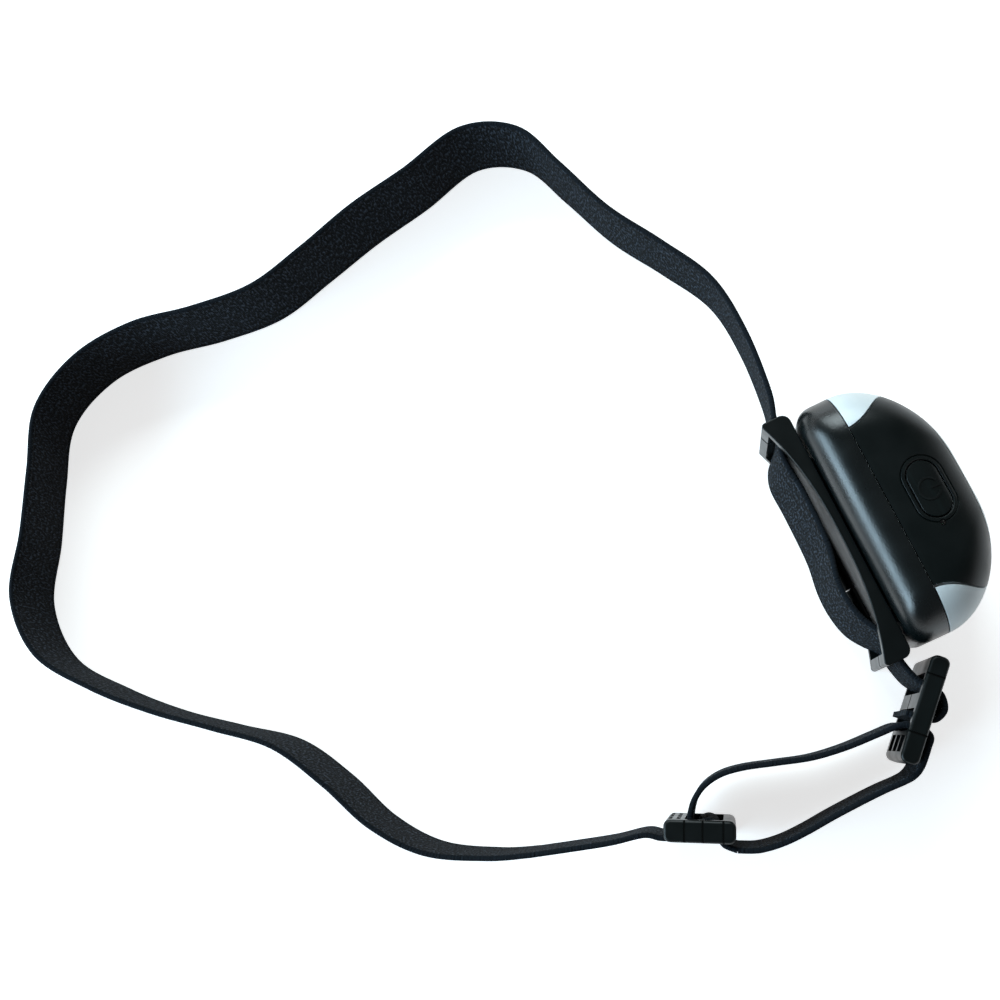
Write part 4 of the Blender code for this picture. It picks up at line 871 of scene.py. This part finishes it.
def head_bracket(finish):
    """Plate with a rail along its top and foot, and a split bar standing off each end for the strap."""
    bracket = soft_prism("bracket_body", bracket_outline(), BRACKET_BASE_Z, BRACKET_TOP_Z, BRACKET_EDGE,
                         finish)
    low, high = BRACKET_BASE_Z + BRACKET_RAIL, BRACKET_TOP_Z - BRACKET_RAIL
    plate_y = BRACKET_FRONT_Y + BRACKET_PLATE
    bar_y = BRACKET_FRONT_Y + END_BAR_CLEAR
    back_y = hollow_y(BRACKET_HALF) + CUT_SPARE
    slit_z = GUIDE_MIDDLE_Z + END_SLIT_RISE
    cut(bracket, box("middle", (-END_BAR_X, plate_y, low), (END_BAR_X, back_y, high)))
    for start, end in both_sides(END_BAR_X - CUT_SPARE, END_BAR_WIDTH + 2 * CUT_SPARE):
        cut(bracket, box("channel", (start, plate_y, low), (end, bar_y, high)))
        cut(bracket, box("slit", (start, bar_y - CUT_SPARE, slit_z - END_SLIT / 2),
                         (end, back_y, slit_z + END_SLIT / 2)))
    for start, end in both_sides(TILT_INNER_X - FIT_GAP, TILT_KNUCKLE + 2 * FIT_GAP):
        cut(bracket, box("notch", (start, BRACKET_FRONT_Y - CUT_SPARE, BRACKET_BASE_Z - CUT_SPARE),
                         (end, TILT_AXIS[0] + TILT_RELIEF, TILT_AXIS_Z + TILT_RELIEF)))
    outer = TILT_INNER_X + TILT_KNUCKLE + FIT_GAP
    middle = (-TILT_INNER_X + FIT_GAP, TILT_INNER_X - FIT_GAP)
    for start, end in (middle, *both_sides(outer, TILT_PIN_HALF - outer)):
        join(bracket, prism("barrel", circle(TILT_AXIS, TILT_BARREL_RADIUS), "x", start, end))
    return cut(bracket, rod_along_x(*TILT_BORE))


# Strap fittings

def fitting_point(fitting, along, inward):
    start, heading, inner = fitting
    angle = math.radians(heading)
    ahead = (math.cos(angle), math.sin(angle))
    return (start[0] + ahead[0] * along + inner * ahead[1] * inward,
            start[1] + ahead[1] * along - inner * ahead[0] * inward)


def fitting_box(fitting, along, inward, low=FITTING_INNER_BASE_Z, high=FITTING_INNER_TOP_Z):
    """Box laid along a fitting, as high as the room for the strap unless two heights are given."""
    corners = ((along[0], inward[0]), (along[1], inward[0]), (along[1], inward[1]), (along[0], inward[1]))
    return prism("box", [fitting_point(fitting, *corner) for corner in corners], "z", low, high)


def fitting_block(name, fitting, length, thick, finish):
    outline = rounded_outline((length / 2, 0.0), length / 2, thick / 2, FITTING_CORNER, FITTING_STEPS)
    plan = [fitting_point(fitting, *point) for point in outline]
    return soft_prism(name, plan, FITTING_BASE_Z, FITTING_TOP_Z, FITTING_EDGE, finish)


def rail_grooves(block, fitting, places, thick):
    """Shallow grooves across the outer faces of both rails."""
    wide = (-thick, thick)
    for place in places:
        span = (place - GROOVE / 2, place + GROOVE / 2)
        cut(block, fitting_box(fitting, span, wide, FITTING_TOP_Z - GROOVE, FITTING_TOP_Z + CUT_SPARE))
        cut(block, fitting_box(fitting, span, wide, FITTING_BASE_Z - CUT_SPARE, FITTING_BASE_Z + GROOVE))


def cored_holes(block, fitting, span, face, depth):
    """Three pockets in a bar's inner face, one above the other."""
    pitch = (FITTING_INNER_TOP_Z - FITTING_INNER_BASE_Z) / 3
    for step in range(3):
        low = FITTING_INNER_BASE_Z + pitch * step + CORE_WALL
        inward = (face - depth, face + CUT_SPARE)
        cut(block, fitting_box(fitting, span, inward, low, low + pitch - 2 * CORE_WALL))


def strap_connector(finish):
    """Three-bar connector: the middle bar is split for threading and the last bar is cored."""
    block = fitting_block("connector_body", CONNECTOR, CONNECTOR_LENGTH, CONNECTOR_THICK, finish)
    wide = (-CONNECTOR_THICK, CONNECTOR_THICK)
    first, middle, last = CONNECTOR_BARS
    for slot in ((first[1], middle[0]), (middle[1], last[0])):
        cut(block, fitting_box(CONNECTOR, slot, wide))
    cut(block, fitting_box(CONNECTOR, (middle[0] - CUT_SPARE, middle[1] + CUT_SPARE), wide,
                           GUIDE_MIDDLE_Z - END_SLIT / 2, GUIDE_MIDDLE_Z + END_SLIT / 2))
    cored_holes(block, CONNECTOR, (last[0] + CORE_WALL, last[1] - 2 * CORE_WALL), CONNECTOR_THICK / 2,
                CONNECTOR_THICK - CORE_WALL)
    rail_grooves(block, CONNECTOR, (first[1], last[0]), CONNECTOR_THICK)
    return block


def strap_slider(finish):
    """Three-bar slider: its bars are thinner than its rails, so the strap weaves between them."""
    block = fitting_block("slider_body", SLIDER, SLIDER_LENGTH, SLIDER_THICK, finish)
    half = SLIDER_THICK / 2
    left, middle, right = SLIDER_BARS
    thin, mid_half, right_low = SLIDER_BAR_FACES
    past = half + CUT_SPARE
    over_middle = (middle[0] - CUT_SPARE, middle[1] + CUT_SPARE)
    hollows = (((left[1], middle[0]), (-past, past)),
               ((middle[1], right[0]), (-past, past)),
               ((left[0] - CUT_SPARE, left[1] + CUT_SPARE), (-past, thin)),
               (over_middle, (mid_half, past)),
               (over_middle, (-past, -mid_half)),
               ((right[0] - CUT_SPARE, right[1] + CUT_SPARE), (-past, right_low)))
    for along, inward in hollows:
        cut(block, fitting_box(SLIDER, along, inward))
    core_width = (left[1] - left[0] - 3 * CORE_WALL) / 2
    for start in (left[0] + CORE_WALL, left[1] - CORE_WALL - core_width):
        cored_holes(block, SLIDER, (start, start + core_width), half, CORE_DEPTH)
    rail_grooves(block, SLIDER, (left[1], middle[0], right[0]), SLIDER_THICK)
    return block


# Strap

def smooth(route):
    """Points along a Catmull-Rom curve through a route of (x, y, foot, lean)."""
    padded = [route[0], *route, route[-1]]
    points = []
    for before, start, end, after in zip(padded, padded[1:], padded[2:], padded[3:]):
        for step in range(ROUTE_STEPS):
            t = step / ROUTE_STEPS
            weights = (-0.5 * t + t * t - 0.5 * t ** 3, 1 - 2.5 * t * t + 1.5 * t ** 3,
                       0.5 * t + 2 * t * t - 1.5 * t ** 3, -0.5 * t * t + 0.5 * t ** 3)
            knots = (before, start, end, after)
            pairs = list(zip(weights, knots))
            points.append(tuple(sum(weight * knot[k] for weight, knot in pairs) for k in range(4)))
    return points + [route[-1]]


def guided(plan):
    """Route points at the height of the strap guides."""
    return [(x, y, GUIDE_LIFT, 0.0) for x, y in plan]


def in_fitting(fitting, points):
    return guided([fitting_point(fitting, *point) for point in points])


def behind_bracket():
    """Route points from the bracket's left end, behind its middle and to its right end."""
    end, front = BRACKET_HALF, BRACKET_FRONT_Y
    left = [(inward - end, front + back, GUIDE_LIFT, lean) for inward, back, lean in BRACKET_ROUTE_LEFT]
    right = [(end - inward, front + back, GUIDE_LIFT, lean) for inward, back, lean in BRACKET_ROUTE_RIGHT]
    middle = (0.0, front + BRACKET_ROUTE_MIDDLE[0], GUIDE_LIFT, BRACKET_ROUTE_MIDDLE[1])
    return [*left, middle, *right[::-1]]


def main_route():
    """From the tail in the connector, behind the bracket and round the loop, to where the feed begins."""
    loop = [(*from_right(x, y), foot, lean) for x, y, foot, lean in LOOP_FROM_RIGHT]
    loop += [(*from_left(x, y), foot, lean) for x, y, foot, lean in LOOP_FROM_LEFT]
    return [*in_fitting(CONNECTOR, CONNECTOR_TAIL), *behind_bracket(), *loop, feed_route()[0]]


def feed_route():
    feed = [(*from_left(x, y), foot, 0.0) for x, y, foot in FEED_FROM_LEFT]
    return feed + in_fitting(SLIDER, SLIDER_WEAVE)


def adjuster_route():
    """From the slider down to the connector, round its last bar and back up to the slider."""
    lower = guided([from_left(*point) for point in LOWER_STRAND[::-1]])
    upper = guided([from_left(*point) for point in UPPER_STRAND])
    return [*in_fitting(SLIDER, SLIDER_WEAVE[-1:]), *lower, *in_fitting(CONNECTOR, CONNECTOR_TURN), *upper,
            *in_fitting(SLIDER, SLIDER_END)]


def band_section():
    """Half section of the woven strap: (height, half thickness), thicker along each edge."""
    upper = [(STRAP_WIDTH - height, half) for height, half in SELVEDGE[::-1]]
    return [*SELVEDGE, (STRAP_WIDTH / 2, SELVEDGE[-1][1]), *upper]


def band(name, route, finish):
    """Woven strap standing on edge along a route, with its length and height laid into a texture map."""
    points = smooth(route)
    section = band_section()
    around = section + [(height, -half) for height, half in section[::-1]]
    rings = []
    lengths = [0.0]
    for index, (x, y, foot, lean) in enumerate(points):
        before, after = points[max(index - 1, 0)], points[min(index + 1, len(points) - 1)]
        ahead = Vector((after[0] - before[0], after[1] - before[1])).normalized()
        out = Vector((ahead.y, -ahead.x))
        ring = []
        for height, half in around:
            shift = out * (half + (height / STRAP_WIDTH - 0.5) * lean)
            ring.append((x + shift.x, y + shift.y, max(foot, 0.0) + height))
        rings.append(ring)
        lengths.append(lengths[-1] + math.dist(points[index][:2], after[:2]))
    strap = loft(name, rings, finish)
    layer = strap.data.uv_layers.new(name="weave")
    count = len(around)
    for corner, vertex in zip(layer.data, strap.data.loops):
        row, place = divmod(vertex.vertex_index, count)
        corner.uv = (lengths[row] * MM, around[place][0] * MM)
    return strap


# Materials

def shader(name):
    """New node material, with its tree and its surface shader."""
    finish = bpy.data.materials.new(name)
    finish.use_nodes = True
    return finish, finish.node_tree, finish.node_tree.nodes["Principled BSDF"]


def give(tree, socket, value):
    """Link a socket to another, or set its value."""
    if isinstance(value, bpy.types.NodeSocket):
        tree.links.new(value, socket)
    else:
        socket.default_value = value


def fill(tree, node, inputs):
    """Link or set several inputs of a node, by their names or numbers."""
    for name, value in inputs.items():
        give(tree, node.inputs[name], value)


def add(tree, kind, inputs=None, **settings):
    """New node with its settings and inputs."""
    node = tree.nodes.new("ShaderNode" + kind)
    for name, value in settings.items():
        setattr(node, name, value)
    fill(tree, node, inputs or {})
    return node


def calc(tree, operation, *values):
    return add(tree, "Math", dict(enumerate(values)), operation=operation).outputs[0]


def on_object(tree):
    return add(tree, "TexCoord").outputs["Object"]


def stretch(tree, place, scale):
    return add(tree, "Mapping", {"Vector": place, "Scale": scale}).outputs["Vector"]


def wave(tree, place, pitch, shift=0.0):
    """Sine wave with a pitch in millimetres."""
    return calc(tree, "SINE", calc(tree, "MULTIPLY_ADD", place, 2 * math.pi / (pitch * MM), shift))


def noise(tree, place, size, detail=2.0):
    """Cloudy value from 0 to 1 with features of a size in millimetres."""
    made = add(tree, "TexNoise", {"Vector": place, "Scale": 1.0 / (size * MM), "Detail": detail})
    return made.outputs["Fac"]


def spread(tree, value, low, high, start=CLOUD_SPAN[0], end=CLOUD_SPAN[1]):
    """A value's span from start to end, spread from low to high."""
    limits = {"From Min": start, "From Max": end, "To Min": low, "To Max": high}
    return add(tree, "MapRange", {"Value": value, **limits}).outputs["Result"]


def tones(tree, value, *stops):
    """Colour along stops of (place, colour)."""
    ramp = add(tree, "ValToRGB", {"Fac": value})
    marks = ramp.color_ramp.elements
    for _ in stops[2:]:
        marks.new(0.5)
    for mark, (place, colour) in zip(marks, stops):
        mark.position = place
        mark.color = (*colour, 1.0)
    return ramp.outputs["Color"]


def clouded(tree, value, first, second):
    """Colour from a first to a second one over a cloudy value."""
    return tones(tree, value, *zip(CLOUD_SPAN, (first, second)))


def mix(tree, share, first, second):
    return add(tree, "Mix", {0: share, 6: first, 7: second}, data_type="RGBA").outputs[2]


def tint(colour, factor):
    return tuple(value * factor for value in colour)


def relief(tree, surface, height, depth):
    """Bump of a depth in millimetres."""
    bump = add(tree, "Bump", {"Height": height, "Distance": depth * MM, "Strength": 1.0})
    tree.links.new(bump.outputs["Normal"], surface.inputs["Normal"])


def moulded(name, colour, roughness, grain, depth, specular, highlight_lift=DARK_EDGE_HIGHLIGHT):
    """Moulded plastic: fine grain, slightly uneven tone and gloss, and sharp edges painted a little paler as
    a painted highlight.
    """
    finish, tree, surface = shader(name)
    place = on_object(tree)
    cloud = noise(tree, place, CLOUD_SIZE, detail=4.0)
    # Painted highlight: sharp convex edges, found by pointiness, are tinted paler as if they caught light.
    edge_highlight = spread(tree, add(tree, "NewGeometry").outputs["Pointiness"], 0.0, 1.0, *EDGE_HIGHLIGHT_SPAN)
    tone = clouded(tree, cloud, tint(colour, 1 - TONE_SWING), tint(colour, 1 + TONE_SWING))
    fill(tree, surface, {
        "Base Color": mix(tree, edge_highlight, tone, (*tint(colour, highlight_lift), 1.0)),
        "Roughness": spread(tree, cloud, roughness - SMOOTHER, roughness + ROUGHER),
        "Specular IOR Level": specular})
    relief(tree, surface, noise(tree, place, grain, detail=3.0), depth)
    return finish


def woven():
    """Elastic webbing: fine ribs along and across, specks of yarn, a line of pits along each edge, and a
    paler rim along each edge that is a painted highlight.
    """
    finish, tree, surface = shader("woven_elastic")
    place = add(tree, "UVMap", uv_map="weave").outputs["UV"]
    parts = add(tree, "SeparateXYZ", {"Vector": place})
    along, across = parts.outputs["X"], parts.outputs["Y"]
    stretched = stretch(tree, place, (1.0, SPECK_SHARE, 1.0))
    speck = spread(tree, noise(tree, stretched, SPECK_SIZE, detail=1.0), 0.0, 1.0)
    cloud = noise(tree, place, FADE_SIZE, detail=3.0)
    sway = calc(tree, "MULTIPLY", speck, YARN_SWAY)
    ribs = calc(tree, "MULTIPLY", wave(tree, along, RIB_PITCH, sway), wave(tree, across, YARN_PITCH, sway))
    weave = calc(tree, "MULTIPLY_ADD", ribs, RIB_SHARE, speck)
    inside = calc(tree, "MINIMUM", across, calc(tree, "SUBTRACT", STRAP_WIDTH * MM, across))
    off_line = calc(tree, "ABSOLUTE", calc(tree, "SUBTRACT", inside, EDGE_LINE * MM))
    on_line = spread(tree, off_line, 1.0, 0.0, 0.0, EDGE_PIT * MM)
    beat = wave(tree, along, PIT_PITCH)
    pit = calc(tree, "MULTIPLY", on_line, spread(tree, beat, 0.0, 1.0, *PIT_SPAN))
    tone = tones(tree, weave, *YARN_TONES)
    faded = mix(tree, spread(tree, cloud, 0.0, FADE_SHARE), tone, (*YARN_MIDDLE, 1.0))
    # Painted highlight: a paler rim along both edges of the strap, as if they caught light.
    rim_highlight = spread(tree, inside, 1.0, 0.0, RIM_HIGHLIGHT_WIDTH / 2 * MM, RIM_HIGHLIGHT_WIDTH * MM)
    rim_highlighted = mix(tree, rim_highlight, faded, (*YARN_RIM_HIGHLIGHT, 1.0))
    fill(tree, surface, {
        "Base Color": mix(tree, calc(tree, "MULTIPLY", pit, PIT_TONE), rim_highlighted, (*YARN_DARK, 1.0)),
        "Roughness": 0.85,
        "Specular IOR Level": 0.05,
        "Sheen Weight": 0.02,
        "Sheen Roughness": 0.5})
    relief(tree, surface, calc(tree, "MULTIPLY_ADD", pit, PIT_SINK, weave), WEAVE_DEPTH)
    return finish


def metal(name, colour, roughness, grain):
    """Bare metal with fine uneven brushing."""
    finish, tree, surface = shader(name)
    place = on_object(tree)
    brush = noise(tree, stretch(tree, place, (BRUSH_STRETCH, 1.0, 1.0)), grain, detail=4.0)
    fill(tree, surface, {
        "Base Color": clouded(tree, brush, tint(colour, BRUSH_TONE), colour),
        "Roughness": spread(tree, brush, roughness - SMOOTHER, roughness + BRUSH_ROUGHER),
        "Metallic": 1.0})
    relief(tree, surface, brush, 0.01)
    return finish


def clear_plastic(name, colour, roughness):
    """Clear moulding with a faint ripple."""
    finish, tree, surface = shader(name)
    place = on_object(tree)
    fill(tree, surface, {
        "Base Color": (*colour, 1.0), "Roughness": roughness, "Transmission Weight": 1.0, "IOR": 1.49})
    relief(tree, surface, noise(tree, place, 6.0), 0.004)
    return finish


def circuit_board():
    """Green board with a net of paler tracks under the mask."""
    finish, tree, surface = shader("circuit_green")
    place = on_object(tree)
    upright = add(tree, "Mapping", {"Vector": place, "Rotation": (math.pi / 2, 0.0, 0.0)})
    net = add(tree, "TexBrick", {
        "Vector": upright.outputs["Vector"],
        "Color1": (0.012, 0.09, 0.035, 1.0),
        "Color2": (0.01, 0.075, 0.03, 1.0),
        "Mortar": (0.03, 0.17, 0.07, 1.0),
        "Scale": 260.0,
        "Mortar Size": 0.03})
    gloss = spread(tree, noise(tree, place, 3.0), 0.3, 0.42)
    fill(tree, surface, {"Base Color": net.outputs["Color"], "Roughness": gloss})
    relief(tree, surface, net.outputs["Fac"], 0.03)
    return finish


def phosphor():
    """Yellow light source, darker in its grain."""
    finish, tree, surface = shader("phosphor_yellow")
    place = on_object(tree)
    grain = noise(tree, place, 0.3, detail=3.0)
    tone = clouded(tree, grain, (0.62, 0.5, 0.1), (0.85, 0.74, 0.28))
    fill(tree, surface, {"Base Color": tone, "Roughness": 0.25, "Coat Weight": 0.6})
    relief(tree, surface, grain, 0.02)
    return finish


def cell_sleeve():
    """Printed sleeve of a cell: dull green with plain pale bands near its ends."""
    finish, tree, surface = shader("cell_sleeve")
    place = on_object(tree)
    reach = calc(tree, "ABSOLUTE", add(tree, "SeparateXYZ", {"Vector": place}).outputs["X"])
    share = calc(tree, "DIVIDE", reach, CELL_LENGTH / 2 * MM)
    green, pale, bare = (0.03, 0.09, 0.06), (0.45, 0.47, 0.42), (0.5, 0.5, 0.5)
    stops = ((0.0, green), (0.74, green), (0.75, pale), (0.79, pale), (0.8, green), (0.95, green),
             (0.96, bare))
    fill(tree, surface, {
        "Base Color": tones(tree, share, *stops),
        "Roughness": spread(tree, noise(tree, place, 4.0), 0.28, 0.4),
        "Metallic": spread(tree, share, 0.0, 1.0, 0.95, 0.96)})
    relief(tree, surface, noise(tree, place, 0.8), 0.01)
    return finish


# Stage

def seen_plainly(tree):
    """One for rays that show a thing to the camera, directly or by reflection or through glass, else zero."""
    path = add(tree, "LightPath")
    mirrored = calc(tree, "MAXIMUM", path.outputs["Is Glossy Ray"], path.outputs["Is Transmission Ray"])
    return calc(tree, "MAXIMUM", path.outputs["Is Camera Ray"], mirrored)


def white_floor():
    """Pale floor that keeps the object's shadow and is white where the camera sees it plainly lit."""
    mesh = bpy.data.meshes.new("floor")
    sides = ((-1, -1), (1, -1), (1, 1), (-1, 1))
    mesh.from_pydata([(x * FLOOR_HALF, y * FLOOR_HALF, FLOOR_Z) for x, y in sides], [], [(0, 1, 2, 3)])
    finish, tree, surface = shader("floor_white")
    fill(tree, surface, {
        "Base Color": (0.85, 0.85, 0.85, 1.0),
        "Roughness": 0.9,
        "Specular IOR Level": 0.0,
        "Emission Color": (1.0, 1.0, 1.0, 1.0),
        "Emission Strength": calc(tree, "MULTIPLY", seen_plainly(tree), FLOOR_GLOW)})
    mesh.materials.append(finish)
    floor = new_item("floor", mesh)


def pale_world():
    """Even dim light from all round; a white backdrop shows up to a little above the horizon."""
    world = bpy.data.worlds.new("studio")
    bpy.context.scene.world = world
    world.use_nodes = True
    tree = world.node_tree
    heading = add(tree, "TexCoord").outputs["Generated"]
    rise = add(tree, "SeparateXYZ", {"Vector": heading}).outputs["Z"]
    backdrop = calc(tree, "MULTIPLY", seen_plainly(tree), spread(tree, rise, 1.0, 0.0, *BACKDROP_EDGE))
    level = spread(tree, backdrop, WORLD_LEVEL, 1.0, 0.0, 1.0)
    fill(tree, tree.nodes["Background"], {"Color": (*WORLD_TONE, 1.0), "Strength": level})


def soft_light(name, place, aim, size, power, colour):
    """Area light at a place, turned to an aim."""
    lamp = bpy.data.lights.new(name, "AREA")
    lamp.shape = "RECTANGLE"
    lamp.size, lamp.size_y = size
    lamp.energy = power
    lamp.color = colour
    item = new_item(name, lamp)
    item.location = place
    item.rotation_euler = (Vector(aim) - Vector(place)).to_track_quat("-Z", "Y").to_euler()


def photo_camera():
    """Camera at the photograph's place, its picture's right and up along the given axes."""
    lens = bpy.data.cameras.new("photo_camera")
    lens.sensor_width = 36.0
    lens.lens = CAMERA_LENS
    lens.clip_start = 0.01
    item = new_item("photo_camera", lens)
    right, up = Vector(CAMERA_RIGHT), Vector(CAMERA_UP)
    turn = Matrix((right, up, right.cross(up))).transposed()
    item.matrix_world = Matrix.Translation(CAMERA_PLACE) @ turn.to_4x4()
    bpy.context.scene.camera = item


# Assembly

def place(item, body, nodes, slot):
    """Set a piece on its body, in place of the frame's nodes; the slot is not used."""
    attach(item, body)
    if nodes:
        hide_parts(*nodes)


def dress(names, finish):
    """Give nodes that are kept as they are a finish of their own."""
    for name in names:
        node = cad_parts[name]
        node.data.materials.clear()
        node.data.materials.append(finish)


def build_housing():
    grained = moulded("grained_black", *GRAINED_BLACK)
    soft = moulded("soft_black", *SOFT_BLACK)
    pale = moulded("pale_shell", *PALE_SHELL, highlight_lift=PALE_EDGE_HIGHLIGHT)
    mark = moulded("mark_black", *MARK_BLACK)
    place(polish(rear_shell(grained), REAR_BEVEL), "rear_housing", ["rear_shell"], "textured_black")
    place(polish(front_shell(pale), FRONT_BEVEL), "front_housing", ["front_shell"], "pale_grey")
    place(saddle_cover(soft), "front_housing", ["saddle_cover"], "soft_black")
    # Painted shade: a black sheet under the saddle darkens the gaps round it.
    place(saddle_shade_sheet(soft), "front_housing", [], "soft_black")
    place(power_button(soft), "button", ["power_button"], "soft_black")
    place(polish(power_mark(mark), MARK_BEVEL, MARK_BEVEL_STEPS), "button", [], "soft_black")


def build_bracket():
    satin = moulded("satin_black", *SATIN_BLACK)
    place(polish(head_bracket(satin), BRACKET_BEVEL), "bracket_and_strap", ["head_bracket"], "gloss_black")
    connector = polish(strap_connector(satin), FITTING_BEVEL)
    place(connector, "bracket_and_strap", ["strap_connector"], "gloss_black")
    place(polish(strap_slider(satin), FITTING_BEVEL), "slider", ["strap_slider"], "gloss_black")
    dress(["tact_switch"], satin)


def build_strap():
    webbing = woven()
    place(band("strap_band", main_route(), webbing), "bracket_and_strap", ["strap_main"], "woven_black")
    for name, route, node, ends in (
            ("strap_feed_band", feed_route(), "strap_feed", FEED_BLEND),
            ("strap_double_band", adjuster_route(), "strap_adjuster_loop", DOUBLE_BLEND)):
        piece = band(name, route, webbing)
        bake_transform(piece)
        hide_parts(node)


def dress_inside():
    steel = metal("bare_steel", *BARE_STEEL)
    dress(["tilt_hinge_pin"], metal("blackened_steel", *BLACKENED_STEEL))
    dress(["case_hinge_pin", "board_screw_left", "board_screw_right", "contact_plate_left",
           "contact_plate_right", "cell_spring_upper", "cell_spring_middle", "cell_spring_lower"], steel)
    dress(["reflector"], metal("mirror_silver", *MIRROR_SILVER))
    dress(["lens"], clear_plastic("clear_lens", (0.97, 0.99, 1.0), roughness=0.03))
    dress(["indicator_light_pipe"], clear_plastic("light_pipe", (0.95, 0.96, 0.9), roughness=0.3))
    dress(["led_board"], circuit_board())
    dress(["main_led", "flood_led_left", "flood_led_right"], phosphor())
    dress(["cell_upper", "cell_middle", "cell_lower"], cell_sleeve())


def build_stage():
    bpy.context.scene.view_settings.view_transform = "Standard"
    white_floor()
    pale_world()
    for light in LIGHTS:
        soft_light(*light)
    photo_camera()


def main():
    build_housing()
    build_bracket()
    build_strap()
    dress_inside()
    build_stage()


main()
